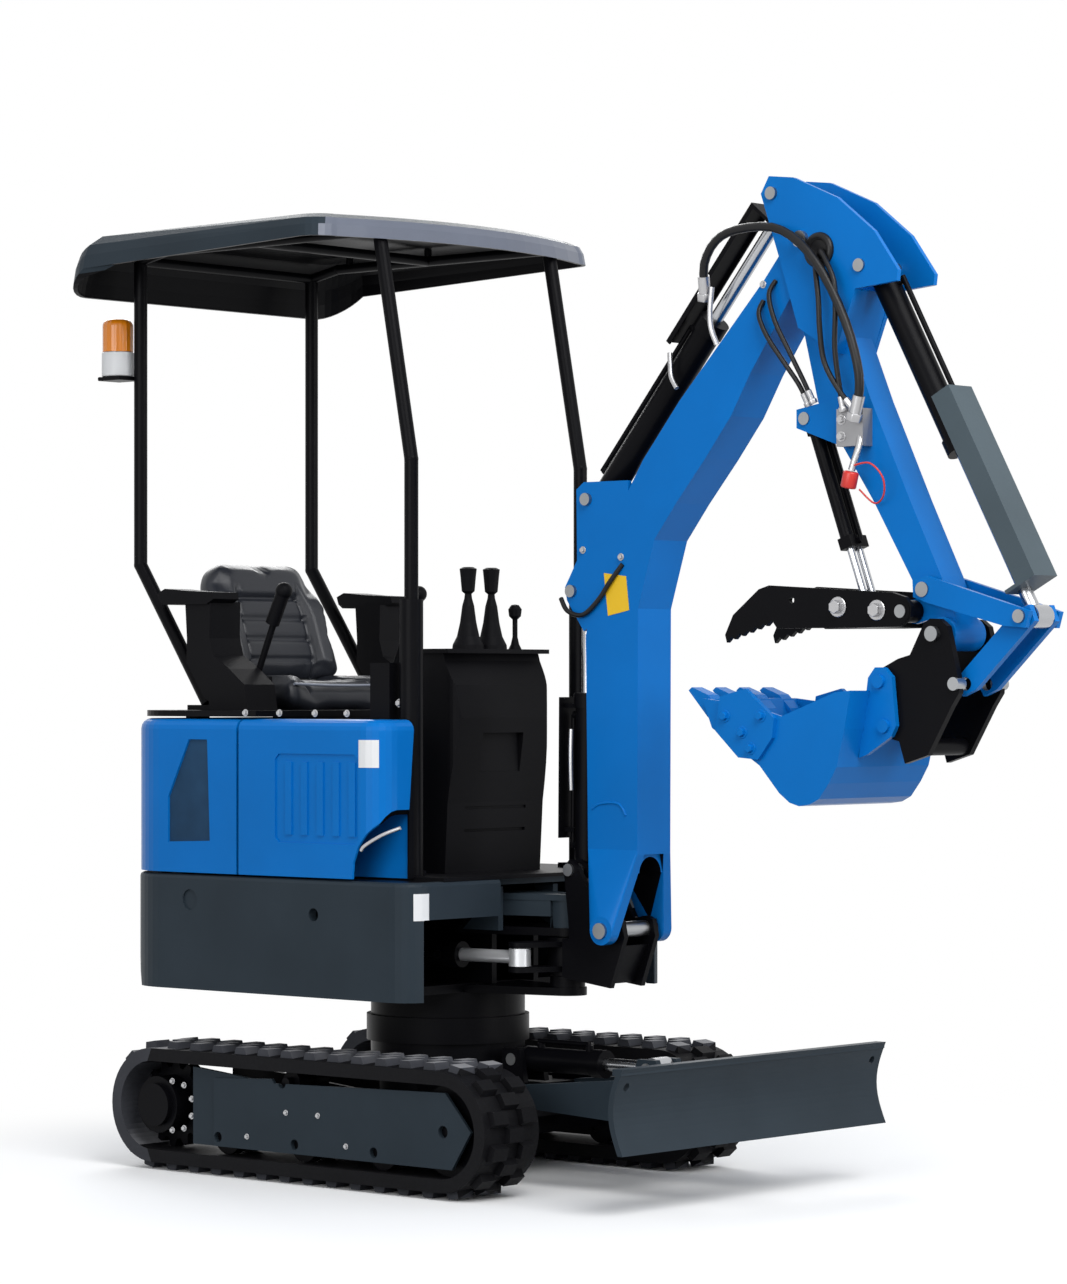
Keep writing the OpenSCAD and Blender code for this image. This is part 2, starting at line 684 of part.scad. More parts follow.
// Four posts, their sockets and the bars under the roof
module canopy_frame() {
    bar_z = roof_z + 22;
    ceiling = roof_z + roof_band + 4 - roof_t;
    rear_z = roof_z + 4;
    bar_r = post_r - 4;
    low = skirt_top + 8;
    color(paint_black) at_slew() {
        for (s = [-1, 1]) {
            y = s * post_y;
            bar([56, y, bar_z], [156, y, 1641], post_r);
            translate([156, y, 1641]) sphere(r = post_r + 0.4, $fn = 32);
            bar([156, y, 1641], [156, y, low], post_r);
            translate([156, y, low]) cylinder(r = post_r + 11, h = 1324 - low, $fn = 48);
            translate([156 - 48, y - 26, low]) cube([70, 52, 12]);
            bar([-732, y, rear_z - 1], [-732, y, 1418], post_r);
            translate([-732, y, 1418]) sphere(r = post_r + 0.4, $fn = 32);
            bar([-732, y, 1418], [-500, y, hood_top + 34], post_r);
            translate([-540, y - 30, hood_top + 19]) cube([80, 60, 12]);
            translate([-732, y, rear_z]) sphere(r = bar_r + 0.4, $fn = 32);
            bar([-732, y, rear_z], [-640, y, bar_z], bar_r);
            translate([-640, y, bar_z]) sphere(r = bar_r + 0.4, $fn = 32);
            bar([-640, y, bar_z], [56, y, bar_z], bar_r);
            for (x = [-600, -335, -80]) translate([x, y, bar_z])
                cylinder(r = bar_r - 3, h = ceiling - gap - bar_z, $fn = 32);
        }
        for (p = [[56, bar_z], [-335, bar_z], [-732, rear_z]]) cross_pin(p, bar_r, 2 * post_y);
        translate([60, -post_y - 34, low]) cube([60, 68, 1180 - low]);
    }
}

// Outline of the roof seen from above, drawn in towards its middle by an inset
function roof_points(inset) =
    let (w = roof_w / 2, x0 = -822, x1 = 130, bow = 85, k = [1 - 2 * inset / (x1 - x0), 1 - inset / w],
        c = [(x0 + x1) / 2, 0], side = w - 60, corner = x1 - bow - 60)
    [for (p = concat(
        [for (i = [0 : 12]) let (y = side * (1 - i / 6) * -1) [x1 - bow * (y / side) * (y / side), y]],
        arc([corner, side], 60, 15, 90, 5), arc([x0 + 90, w - 90], 90, 90, 180, 8),
        arc([x0 + 90, 90 - w], 90, 180, 270, 8), arc([corner, -side], 60, 270, 345, 5)))
        [c[0] + k[0] * (p[0] - c[0]), k[1] * p[1]]];

// One ring of the roof: its height falls towards the rear by a share of the rim's fall
function roof_ring(inset, z, share) =
    [for (p = roof_points(inset)) [p[0], p[1], roof_z + z - share * 0.65 * max(0, -690 - p[0])]];

// Pressed roof, open underneath
module roof_shell(t) {
    b = roof_band;
    loft(concat(t > 0 ? [roof_ring(t, -120, 0)] : [],
        [roof_ring(t, 0, 1), roof_ring(t + 4, 0.5 * b - t, 0.9), roof_ring(t + 12, 0.8 * b - t, 0.7),
            roof_ring(t + 36, b - t, 0.5), roof_ring(t + 90, b + 3 - t, 0.35),
                roof_ring(t + 140, b + 4 - t, 0)]));
}

module canopy_roof() {
    color(paint_slate) at_slew() difference() {
        roof_shell(0);
        roof_shell(roof_t);
    }
}

module beacon() {
    y = -post_y - 20;
    color(amber) at_slew() translate([-790, y, 0]) {
        translate([0, 0, 1870]) cylinder(r = 40, h = 60, $fn = 48);
        translate([0, 0, 1930]) cylinder(r1 = 38, r2 = 30, h = 80, $fn = 48);
        translate([-30, -30, 1860]) cube([58 - post_r + 30, 60, 10]);
    }
}

// Bracket that swings on the kingpost and carries the boom
module swing_bracket() {
    web = [[foot_x - 46, 462], [foot_x - 30, 458], [foot_x + 12, foot_z - 36], [foot_x - 4, foot_z - 36]];
    color(paint_black) at_slew() difference() {
        union() {
            translate([kingpost_x, 0, 470]) cylinder(r = 46, h = 86, $fn = 64);
            translate([kingpost_x, 0, house_z + 2]) cylinder(r = pin_r + 8, h = 222, $fn = 48);
            translate([kingpost_x + 36, -54, 470]) cube([24, 108, 86]);
            for (s = [-1, 1])
                plate([[kingpost_x + 36, 470], [kingpost_x + 50, 466], [foot_x - 10, 450],
                    [foot_x + 32, foot_z - 16], [foot_x + 24, foot_z + 22], [foot_x - 34, foot_z + 24],
                    [boom_base[0] + 22, boom_base[1] + 8], [boom_base[0], boom_base[1] + 24],
                    [boom_base[0] - 18, boom_base[1] + 6], [kingpost_x + 56, foot_z], [kingpost_x + 56, 556],
                    [kingpost_x + 36, 556]], s * 54, 14);
            for (s = [-1, 1]) cross_pin(foot, pin_r + 14, 16, s * 55);
            plate(web, 0, 108);
            for (z = [480, 536]) translate([0, 0, z]) linear_extrude(12) hull() {
                translate([kingpost_x, 0]) circle(r = 40, $fn = 48);
                translate(swing_eye) circle(r = 26, $fn = 48);
            }
        }
        cross_pin(boom_base, pin_r + fit, 200);
        cross_pin(foot, pin_r + 4 + fit, 200);
    }
    color(bright) at_slew() cross_pin(boom_base, pin_r, 136);
}

// Swing cylinder lies level, so it turns about vertical pins
module swing_along() {
    d = swing_eye - swing_base;
    translate([swing_base[0], swing_base[1], swing_z])
        rotate([0, 0, atan2(d[1], d[0])]) rotate([0, 90, 0]) rotate([0, 0, 90]) children();
}

module swing_barrel() {
    color(paint_black) at_slew() swing_along() barrel(230, 26, 40, rod_r);
}

module swing_rod() {
    color(bright) at_slew() swing_along() rod(norm(swing_eye - swing_base), 150, 40, rod_r);
}

// Side profile of the boom's box
function boom_profile() = [
    for (p = [[-77, 170], [-84, 660], [-38, 860], [84, 1050], [188, 1176], [426, 1428],
        [boom_reach - 30, boom_rise + 22], [boom_reach + 30, boom_rise - 20],
        [388, 1228], [334, 1137], [262, 1047], [179, 951], [116, 871], [69, 719], [67, 170]]) foot + p];

module boom() {
    leg_y = boom_w / 2 + 34;
    color(paint_blue) at_slew() difference() {
        union() {
            plate(boom_profile(), 0, boom_w);
            for (s = [-1, 1]) hull() {
                cross_pin(foot, 32, 26, s * leg_y);
                translate([foot_x - 77, s * (boom_w / 2 - 12) - 12, foot_z + 170]) cube([144, 24, 10]);
            }
            // Arch over the opening between the legs
            difference() {
                translate([foot_x - 62, -50, foot_z + 128]) cube([118, 100, 44]);
                translate([foot_x - 100, 0, foot_z + 126]) rotate([0, 90, 0])
                    cylinder(r = 38, h = 200, $fn = 48);
            }
            cross_pin(pivot, 38, boom_w);
            // Ears for the boom and arm cylinders
            for (s = [-1, 1])
                plate([foot + [-90, 670], foot + [-140, 740], foot + [-146, 770], foot + [-110, 830],
                    foot + [-112, 990], foot + [-90, 1006], foot + [40, 1006], foot + [40, 900],
                        foot + [-40, 700]],
                    s * (boom_w / 2 - 6), 12);
        }
        cross_pin(foot, pin_r + 4 + fit, 400);
        plate([foot + [-200, 675], foot + [-86, 675], foot + [-40, 868], foot + [80, 1052], foot + [80, 1100],
            foot + [-200, 1100]], 0, boom_w - 24);
        cross_pin(pivot, pin_r + 4 + fit, 400);
        cross_pin(boom_eye, pin_r + fit, 400);
        cross_pin(arm_base, pin_r + fit, 400);
    }
    color(bright) at_slew() {
        cross_pin(arm_base, pin_r, boom_w + 20);
        cross_pin(foot, pin_r + 4, 2 * leg_y + 40);
        for (s = [-1, 1]) cross_pin(boom_eye, pin_r, 18, s * (boom_w / 2));
    }
}

module boom_barrel() {
    r = barrel_r - 3;
    color(paint_black) at_slew() along(boom_base, boom_eye) {
        barrel(400, r, 56, rod_r);
        translate([-r - 30, -34, 70]) cube([5, 68, 320]);
        for (z = [84, 366]) difference() {
            translate([-r - 26, -18, z]) cube([30, 36, 10]);
            cylinder(r = r - 4, h = 800, center = true, $fn = 48);
        }
    }
}

module boom_rod() {
    l = reach(boom_base, boom_eye);
    color(bright) at_slew() along(boom_base, boom_eye) rod(l, 340, 56, rod_r);
}

module arm() {
    head_y = boom_w / 2 + 8;
    color(paint_blue) at_slew() difference() {
        union() {
            plate([pivot + [-20, -190], pivot + [20, -350], tip + [-190, 287], tip + [-84, 110],
                tip + [-30, 20],
                tip + [30, 20], tip + [-12, 122], tip + [-93, 284], tip + [-195, 500], pivot + [90, -180],
                pivot + [60, -100]], 0, arm_w);
            for (s = [-1, 1])
                plate([pivot + [-90, 143], pivot + [-24, 135], pivot + [95, 83], pivot + [193, 5],
                    pivot + [256, -82], pivot + [253, -105], pivot + [143, -115], pivot + [90, -250],
                    pivot + [-10, -190], pivot + [-60, -40], pivot + [-112, 106]], s * head_y, 12);
            plate([pivot + [60, -100], pivot + [140, -116], pivot + [90, -250], pivot + [0, -190]], 0,
                boom_w + 4);
            cross_pin(tip, 36, 110);
            for (s = [-1, 1]) hull() {
                cross_pin(thumb_pin, 26, 12, s * 34);
                cross_pin(tip + [-24, 60], 24, 12, s * 34);
            }
        }
        cross_pin(thumb_pin, pin_r + fit, 400);
        cross_pin(pivot, pin_r + 4 + fit, 400);
        cross_pin(arm_eye, pin_r + fit, 400);
        cross_pin(bucket_base, pin_r + fit, 400);
        cross_pin(tip, pin_r + 2 + fit, 400);
        cross_pin(rocker_pin, pin_r + 2 + fit, 400);
    }
    color(bright) at_slew() {
        cross_pin(bucket_base, pin_r, boom_w + 40);
        for (s = [-1, 1]) cross_pin(arm_eye, pin_r, 20, s * (head_y + 4));
        cross_pin(pivot, pin_r + 4, boom_w + 50);
        for (s = [-1, 1])
            plate([thumb_base + [-22, 20], thumb_base + [-22, -20], thumb_base + [90, -60],
                thumb_base + [90, 40]],
                s * 38, 12);
        cross_pin(thumb_base, pin_r, 96);
    }
}

module arm_barrel() {
    color(paint_black) at_slew() along(arm_base, arm_eye) barrel(505, barrel_r, 56, rod_r);
}

module arm_rod() {
    l = reach(arm_base, arm_eye);
    color(bright) at_slew() along(arm_base, arm_eye) rod(l, 440, 56, rod_r);
}

// Plate that covers a rod from the side of the ports and travels with it
module rod_guard(l, start, offset, w, flange) {
    difference() {
        union() {
            translate([-offset, -w / 2, start]) cube([4, w, l - 64 - start]);
            for (s = [-1, 1]) translate([-offset, s * (w / 2 - 2) - 2, start])
                cube([flange, 4, l - 64 - start]);
            translate([-offset, -w / 2, l - 72]) cube([offset + rod_r + 6, w, 8]);
        }
        cylinder(r = rod_r + fit, h = 2 * l, $fn = 48);
    }
}

module arm_rod_guard() {
    color(paint_black) at_slew() along(arm_base, arm_eye) rod_guard(reach(arm_base, arm_eye), 400, 62,
        64, 12);
}

module bucket_rod_guard() {
    color(paint_slate) at_slew() along(bucket_base, link_top)
        rod_guard(reach(bucket_base, link_top), 330, 60, 84, 50);
}

// Thick hose from the arm cylinder over the arm's pivot to the valve
module boom_hose() {
    color(paint_black) at_slew() tube(hose_path, hose_r);
}

// Tube of round section swept through points in space
module tube(path, r) {
    sides = 10;
    rings = [for (i = [0 : len(path) - 1]) let (
        a = path[max(i - 1, 0)], b = path[min(i + 1, len(path) - 1)], d = (b - a) / norm(b - a),
        u = cross(d, [0, 1, 0.2]) / norm(cross(d, [0, 1, 0.2])), v = cross(d, u))
        [for (k = [0 : sides - 1]) path[i] + r * (cos(360 * k / sides) * u + sin(360 * k / sides) * v)]];
    loft(rings);
}

module valve_block() {
    color(grey_metal) at_slew() translate([pivot[0] + 95, -arm_w / 2 - 34, pivot[1] - 450])
        cube([70, 34, 80]);
}

module bucket_barrel() {
    color(paint_black) at_slew() along(bucket_base, link_top) barrel(456, barrel_r - 2, 56, rod_r);
}

module bucket_rod() {
    l = reach(bucket_base, link_top);
    color(bright) at_slew() along(bucket_base, link_top) rod(l, 400, 56, rod_r);
}

// Rocker plates on both sides of the arm
module rocker() {
    color(paint_blue) at_slew() difference() {
        for (s = [-1, 1])
            plate([rocker_pin + [-26, 20], rocker_pin + [10, 28], link_top + [-20, 24], link_top + [24, 10],
                link_top + [14, -24], link_top + [-40, -20], rocker_pin + [10, -28], rocker_pin + [-24, -16]],
                s * 56, 14);
        cross_pin(rocker_pin, pin_r + 2 + fit, 300);
        cross_pin(link_top, pin_r + fit, 300);
    }
    color(bright) at_slew() {
        cross_pin(rocker_pin, pin_r + 2, 134);
        for (s = [-1, 1]) cross_pin(link_top, pin_r, 39, s * 50);
    }
}

module bucket_link() {
    color(paint_blue) at_slew() for (s = [-1, 1]) difference() {
        plate([link_top + [-24, 12], link_top + [12, 24], link_top + [26, -10], link_low + [26, -12],
            link_low + [-8, -26], link_low + [-26, 8]], s * 38, 16);
        cross_pin(link_top, pin_r + fit, 300);
        cross_pin(link_low, pin_r + fit, 300);
    }
}

// Quick coupler: two plates that hook the bucket's pins
module coupler() {
    color(paint_black) at_slew() difference() {
        union() {
            for (s = [-1, 1])
                plate([tip + [-26, 22], tip + [-10, 32], tip + [14, 31], tip + [34, 16], tip + [42, -13],
                    tip + [65, -105], tip + [64, -125], tip + [45, -152], tip + [-16, -255],
                        tip + [-75, -273],
                    tip + [-90, -226], bucket_pin_low + [-20, -22], bucket_pin_low + [-26, 4],
                    tip + [-104, -166], tip + [-106, -132], bucket_pin_top + [-24, -18],
                    bucket_pin_top + [-22, 20], tip + [-93, -52], tip + [-62, -44]], s * 75, 16);
            cross_pin(tip + [-34, -238], 18, 140);
        }
        cross_pin(tip, pin_r + 2 + fit, 300);
        cross_pin(link_low, pin_r + fit, 300);
        cross_pin(bucket_pin_top, pin_r + fit, 300);
        cross_pin(bucket_pin_low, pin_r + fit, 300);
    }
    color(bright) at_slew() {
        for (s = [-1, 1]) cross_pin(link_low, pin_r, 30, s * 77);
        cross_pin(tip, pin_r + 2, 190);
    }
}

// Bucket: bent shell, side plates, side cutters, teeth and the ears of its two pins
module bucket() {
    lip = [-557, -136];
    skin = [lip, [-530, -200], [-399, -280], [-346, -338], [-318, -358], [-293, -365], [-264, -361],
        [-240, -349],
        [-214, -316], [-193, -281], [-172, -200], [-156, -119]];
    side_top = [[-198, -123], [-287, -155], [-340, -174], [-430, -150]];
    cutter = [[-500, -132], [-430, -115], [-352, -178], [-357, -220], [-395, -267], [-449, -263],
        [-512, -206]];
    tooth = [[-613, -119], [-604, -112], [-560, -128], [-528, -158], [-514, -192], [-530, -201],
        [-560, -176]];
    color(paint_blue) at_slew() difference() {
        union() {
            difference() {
                plate([for (p = concat(skin, side_top)) tip + p], 0, bucket_w);
                translate([tip[0], (bucket_w - 2 * bucket_t) / 2, tip[1]]) rotate([90, 0, 0])
                    linear_extrude(bucket_w - 2 * bucket_t)
                        polygon(concat(beside(skin, bucket_t), [[-100, -20], [-620, -60]]));
            }
            for (y = [-3, -1, 1, 3])
                plate([for (p = tooth) tip + p], y * (bucket_w / 2 - 40) / 3, tooth_w);
            for (s = [-1, 1]) {
                plate([for (p = cutter) tip + p], s * (bucket_w / 2 + 5), 12);
                plate([tip + [-176, -196], bucket_pin_top + [-30, 8], bucket_pin_top + [-12, 30],
                    bucket_pin_top + [12, 30], bucket_pin_top + [32, 10], bucket_pin_low + [30, 0],
                    bucket_pin_low + [18, -22], tip + [-164, -255], tip + [-185, -262]], s * 91, 12);
            }
        }
        for (s = [-1, 1]) {
            cross_pin(bucket_pin_top, pin_r + fit, 40, s * 91);
            cross_pin(bucket_pin_low, pin_r + fit, 40, s * 91);
        }
    }
    color(bright) at_slew() {
        cross_pin(bucket_pin_top, pin_r, 210);
        cross_pin(bucket_pin_low, pin_r, 210);
    }
}

// Thumb: two toothed plates on a tube round the thumb's pin
module thumb() {
    teeth = [for (i = [0 : 5]) for (c = [[0, 0], [14, 13]]) [-468 + 22 * i + c[0], -63 + 7 * i + c[1]]];
    color(paint_black) at_slew() difference() {
        union() {
            for (s = [-1, 1])
                plate(concat([for (p = [[26, -12], [28, 10], [12, 30], [-23, 40], [-352, 60],
                    [-380, 52], [-451, -3],
                    [-473, -46]]) thumb_pin + p], [for (p = teeth) thumb_pin + p],
                    [for (p = [[-330, -33], [-122, -34], [0, -32]]) thumb_pin + p]), s * 85, 12);
            for (s = [-1, 1]) cross_pin(thumb_pin, 24, 50, s * 67);
            plate([for (p = [[-70, -33], [-70, -23], [-220, -23], [-220, -33]]) thumb_pin + p], 0, 160);
        }
        cross_pin(thumb_pin, pin_r + fit, 300);
        for (p = [[-165, 11], [-62, 3]]) translate([thumb_pin[0] + p[0], 0, thumb_pin[1] + p[1]])
            scale([1.2, 1, 1]) cross_pin([0, 0], 12, 300);
        cross_pin(thumb_pin + [-290, 27], 7, 300);
    }
    color(bright) at_slew() cross_pin(thumb_pin, pin_r, 190);
}

module thumb_barrel() {
    l = 300;
    w = 62;
    color(paint_black) at_slew() along(thumb_base, thumb_eye) difference() {
        union() {
            rotate([90, 0, 0]) cylinder(r = pin_r + 9, h = w, center = true, $fn = 48);
            for (y = [-w / 2 + thumb_r, w / 2 - thumb_r]) translate([0, y, 12])
                cylinder(r = thumb_r, h = l - 12, $fn = 40);
            translate([-14, -w / 2, 14]) cube([28, w, 22]);
            translate([-16, -w / 2, l - 26]) cube([32, w, 26]);
            for (z = [46, l - 13]) translate([-24, 0, z]) rotate([0, 90, 0])
                cylinder(r = 7, h = 20, $fn = 24);
            translate([-22, 0, 46]) cylinder(r = 4, h = l - 59, $fn = 16);
        }
        rotate([90, 0, 0]) cylinder(r = pin_r + fit, h = w + 2, center = true, $fn = 48);
        for (y = [-w / 2 + thumb_r, w / 2 - thumb_r]) translate([0, y, 50])
            cylinder(r = thumb_rod_r + gap, h = l, $fn = 40);
    }
}

module thumb_rod() {
    l = reach(thumb_base, thumb_eye);
    w = 62;
    color(bright) at_slew() along(thumb_base, thumb_eye) difference() {
        union() {
            for (y = [-w / 2 + thumb_r, w / 2 - thumb_r]) translate([0, y, 230])
                cylinder(r = thumb_rod_r, h = l - 238, $fn = 40);
            translate([0, 0, l]) rotate([90, 0, 0]) cylinder(r = pin_r + 8, h = w, center = true, $fn = 48);
        }
        translate([0, 0, l]) rotate([90, 0, 0]) cylinder(r = pin_r + fit, h = w + 2, center = true, $fn = 48);
    }
}

undercarriage_frame();
slew_ring();
track_frame(-1);  // track_frame_right
track_frame(1);  // track_frame_left
rollers(-1);  // rollers_right
rollers(1);  // rollers_left
sprocket(-1);  // sprocket_right
sprocket(1);  // sprocket_left
track(-1);  // track_right
track(1);  // track_left
blade();
blade_barrel();
blade_rod();
house_frame();
counterweight();
side_cover();
rear_hood();
hood_grilles();
engine_block();
floor_plate();
console();
travel_levers();
seat_base();
seat_cushions();
control_box(-1);  // control_box_right
control_box(1);  // control_box_left
canopy_frame();
canopy_roof();
beacon();
swing_bracket();
swing_barrel();
swing_rod();
boom();
boom_barrel();
boom_rod();
boom_hose();
arm();
arm_barrel();
arm_rod();
arm_rod_guard();
valve_block();
bucket_barrel();
bucket_rod();
bucket_rod_guard();
rocker();
bucket_link();
coupler();
bucket();
thumb();
thumb_barrel();
thumb_rod();
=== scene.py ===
import math
import bpy
from mathutils import Matrix, Vector


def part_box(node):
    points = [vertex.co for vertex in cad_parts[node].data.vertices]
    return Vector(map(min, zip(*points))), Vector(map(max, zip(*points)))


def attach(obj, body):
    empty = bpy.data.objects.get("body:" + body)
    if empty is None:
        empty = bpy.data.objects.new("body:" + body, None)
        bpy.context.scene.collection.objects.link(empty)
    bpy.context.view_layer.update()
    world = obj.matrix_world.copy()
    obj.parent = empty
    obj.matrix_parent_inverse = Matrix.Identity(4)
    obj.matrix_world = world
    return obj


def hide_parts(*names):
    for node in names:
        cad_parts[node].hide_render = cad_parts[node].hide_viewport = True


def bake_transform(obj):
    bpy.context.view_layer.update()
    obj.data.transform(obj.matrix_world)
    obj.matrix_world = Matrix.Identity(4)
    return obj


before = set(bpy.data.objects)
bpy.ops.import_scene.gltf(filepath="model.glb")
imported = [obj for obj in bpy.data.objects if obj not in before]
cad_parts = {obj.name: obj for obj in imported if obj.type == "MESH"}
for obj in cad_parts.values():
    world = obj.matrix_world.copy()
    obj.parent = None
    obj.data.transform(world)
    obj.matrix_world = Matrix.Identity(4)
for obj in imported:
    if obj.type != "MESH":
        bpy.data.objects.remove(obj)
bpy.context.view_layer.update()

# Camera. It stands level with the seat, off the machine's right front corner,
# and looks through a long lens, as the photograph was taken.
camera_data = bpy.data.cameras.new("camera")
camera_data.sensor_fit = "HORIZONTAL"
camera_data.sensor_width = 36
camera_data.lens = 141.1
camera_data.shift_y = 0.0415
camera_data.clip_end = 60
camera = bpy.data.objects.new("camera", camera_data)
camera.location = (6.197, -7.210, 1.127)
camera.rotation_euler = (math.radians(90), 0, math.radians(41.33))
bpy.context.collection.objects.link(camera)
bpy.context.scene.camera = camera
bpy.context.scene.view_settings.view_transform = "Standard"


# Free hoses at the boom's head, in black rubber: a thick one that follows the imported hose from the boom
# to the arm's valve, two to that valve on the arm, and two to the thumb's cylinder. The thick one has
# a crimped steel fitting at both ends, the others at their lower end.
slew_back = 410


def place(x, y, z):
    """Metres in the shared frame, from millimetres ahead of the slew axis, to its left and up.
    The slew axis lies slew_back millimetres behind the frame's origin."""
    return Vector(((x - slew_back) / 1000, y / 1000, z / 1000))


def curve_through(knots, steps):
    knots = [place(*knot) for knot in knots]
    ends = [knots[0]] + knots + [knots[-1]]
    line = []
    for a, b, c, d in zip(ends, ends[1:], ends[2:], ends[3:]):
        for step in range(steps):
            t = step / steps
            line.append(0.5 * (2 * b + (c - a) * t + (2 * a - 5 * b + 4 * c - d) * t * t
                               + (3 * b - a - 3 * c + d) * t * t * t))
    return line + [knots[-1]]


def finish(name, colour, rough, metal=0.0, vary=0.12, grain=60, bump=0.08, spec=0.5, dust_and_light=None):
    """A surface whose colour drifts a little over the piece, with its own fine grain in gloss and relief.
    The last argument is a colour and an amount laid on the faces that look up, for dust and for painted
    light."""
    mat = bpy.data.materials.new(name)
    mat.use_nodes = True
    nodes, links = mat.node_tree.nodes, mat.node_tree.links
    shader = nodes["Principled BSDF"]
    where = nodes.new("ShaderNodeTexCoord")
    broad = nodes.new("ShaderNodeTexNoise")
    broad.inputs["Scale"].default_value = 5
    broad.inputs["Detail"].default_value = 5
    fine = nodes.new("ShaderNodeTexNoise")
    fine.inputs["Scale"].default_value = grain
    fine.inputs["Detail"].default_value = 4
    links.new(where.outputs["Object"], broad.inputs["Vector"])
    links.new(where.outputs["Object"], fine.inputs["Vector"])
    tint = nodes.new("ShaderNodeValToRGB")
    tint.color_ramp.elements[0].position = 0.3
    tint.color_ramp.elements[1].position = 0.7
    tint.color_ramp.elements[0].color = [c * (1 - vary) for c in colour] + [1]
    tint.color_ramp.elements[1].color = [min(1, c * (1 + vary)) for c in colour] + [1]
    links.new(broad.outputs["Fac"], tint.inputs["Fac"])
    colour_out = tint.outputs["Color"]
    if dust_and_light:
        normal = nodes.new("ShaderNodeNewGeometry")
        split = nodes.new("ShaderNodeSeparateXYZ")
        links.new(normal.outputs["Normal"], split.inputs[0])
        up = nodes.new("ShaderNodeMath")
        up.operation = "MULTIPLY"
        links.new(split.outputs["Z"], up.inputs[0])
        links.new(broad.outputs["Fac"], up.inputs[1])
        amount = nodes.new("ShaderNodeMapRange")
        amount.inputs["From Min"].default_value = 0.2
        amount.inputs["From Max"].default_value = 0.5
        amount.inputs["To Max"].default_value = dust_and_light[3]
        links.new(up.outputs[0], amount.inputs["Value"])
        mix = nodes.new("ShaderNodeMix")
        mix.data_type = "RGBA"
        mix.inputs["B"].default_value = (dust_and_light[0], dust_and_light[1], dust_and_light[2], 1)
        links.new(amount.outputs["Result"], mix.inputs["Factor"])
        links.new(colour_out, mix.inputs["A"])
        colour_out = mix.outputs["Result"]
    links.new(colour_out, shader.inputs["Base Color"])
    gloss = nodes.new("ShaderNodeMapRange")
    gloss.inputs["To Min"].default_value = rough * 0.82
    gloss.inputs["To Max"].default_value = min(1, rough * 1.2)
    links.new(fine.outputs["Fac"], gloss.inputs["Value"])
    links.new(gloss.outputs["Result"], shader.inputs["Roughness"])
    relief = nodes.new("ShaderNodeBump")
    relief.inputs["Strength"].default_value = bump
    relief.inputs["Distance"].default_value = 0.0006
    links.new(fine.outputs["Fac"], relief.inputs["Height"])
    links.new(relief.outputs["Normal"], shader.inputs["Normal"])
    shader.inputs["Metallic"].default_value = metal
    shader.inputs["Specular IOR Level"].default_value = spec
    return mat


def clear_selection():
    bpy.ops.object.select_all(action="DESELECT")


def settle(piece, spot, along=(0, 0, 1)):
    """Puts a shape that was made at the origin, pointing up, in its place, inside its own mesh."""
    turn = Vector(along).to_track_quat("Z", "Y").to_matrix().to_4x4()
    piece.data.transform(Matrix.Translation(spot) @ turn)
    piece.location, piece.rotation_euler = (0, 0, 0), (0, 0, 0)


def round_edges(piece, width, segments):
    bpy.context.view_layer.objects.active = piece
    edge = piece.modifiers.new("edge", "BEVEL")
    edge.width = width
    edge.segments = segments
    bpy.ops.object.modifier_apply(modifier="edge")


def hose(name, line, thick, jacket):
    curve = bpy.data.curves.new(name, "CURVE")
    curve.dimensions = "3D"
    curve.bevel_depth = thick / 2
    curve.bevel_resolution = 3
    curve.use_fill_caps = True
    spline = curve.splines.new("POLY")
    spline.points.add(len(line) - 1)
    for point, p in zip(spline.points, line):
        point.co = (p.x, p.y, p.z, 1)
    piece = bpy.data.objects.new(name, curve)
    bpy.context.collection.objects.link(piece)
    clear_selection()
    piece.select_set(True)
    bpy.context.view_layer.objects.active = piece
    bpy.ops.object.convert(target="MESH")
    piece.data.materials.append(jacket)
    bpy.ops.object.shade_smooth()
    return piece


def crimp(name, spot, along, thick):
    """A hose end: a ribbed steel sleeve pressed on the hose, and its union nut."""
    clear_selection()
    bpy.ops.mesh.primitive_cylinder_add(vertices=24, radius=thick * 0.66, depth=thick * 2.2,
                                        location=(0, 0, 0))
    sleeve = bpy.context.object
    bpy.ops.object.mode_set(mode="EDIT")
    bpy.ops.mesh.select_all(action="SELECT")
    bpy.ops.mesh.bisect(plane_co=(0, 0, thick * 0.3), plane_no=(0, 0, 1))
    bpy.ops.mesh.bevel(offset=thick * 0.12, segments=2, affect="EDGES")
    bpy.ops.object.mode_set(mode="OBJECT")
    bpy.ops.mesh.primitive_cylinder_add(vertices=6, radius=thick * 0.9, depth=thick * 0.9,
                                        location=(0, 0, thick * 1.25))
    round_edges(bpy.context.object, thick * 0.08, 2)
    sleeve.select_set(True)
    bpy.context.view_layer.objects.active = sleeve
    bpy.ops.object.transform_apply(location=True)
    bpy.ops.object.join()
    sleeve.name = name
    sleeve.data.materials.append(zinc_plate)
    bpy.ops.object.shade_smooth_by_angle(angle=math.radians(40))
    settle(sleeve, spot, along)
    return sleeve


def free_hose(name, line, thick, a_body, b_body, bend=None, ends=(True, True)):
    """A hose from a_body to b_body. When bend is given, the hose is left in the world, held by neither body,
    and the places in bend are not used. ends says at which end it has a fitting."""
    piece = hose(name, line, thick, hose_rubber)
    for wanted, tag, at, out, body in ((ends[0], "_upper_end", line[1], line[0] - line[2], a_body),
                                       (ends[1], "_lower_end", line[-2], line[-1] - line[-3], b_body)):
        if wanted:
            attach(crimp(name + tag, at, out, thick), body)
    if bend:
        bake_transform(piece)
    else:
        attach(piece, a_body)
    return piece


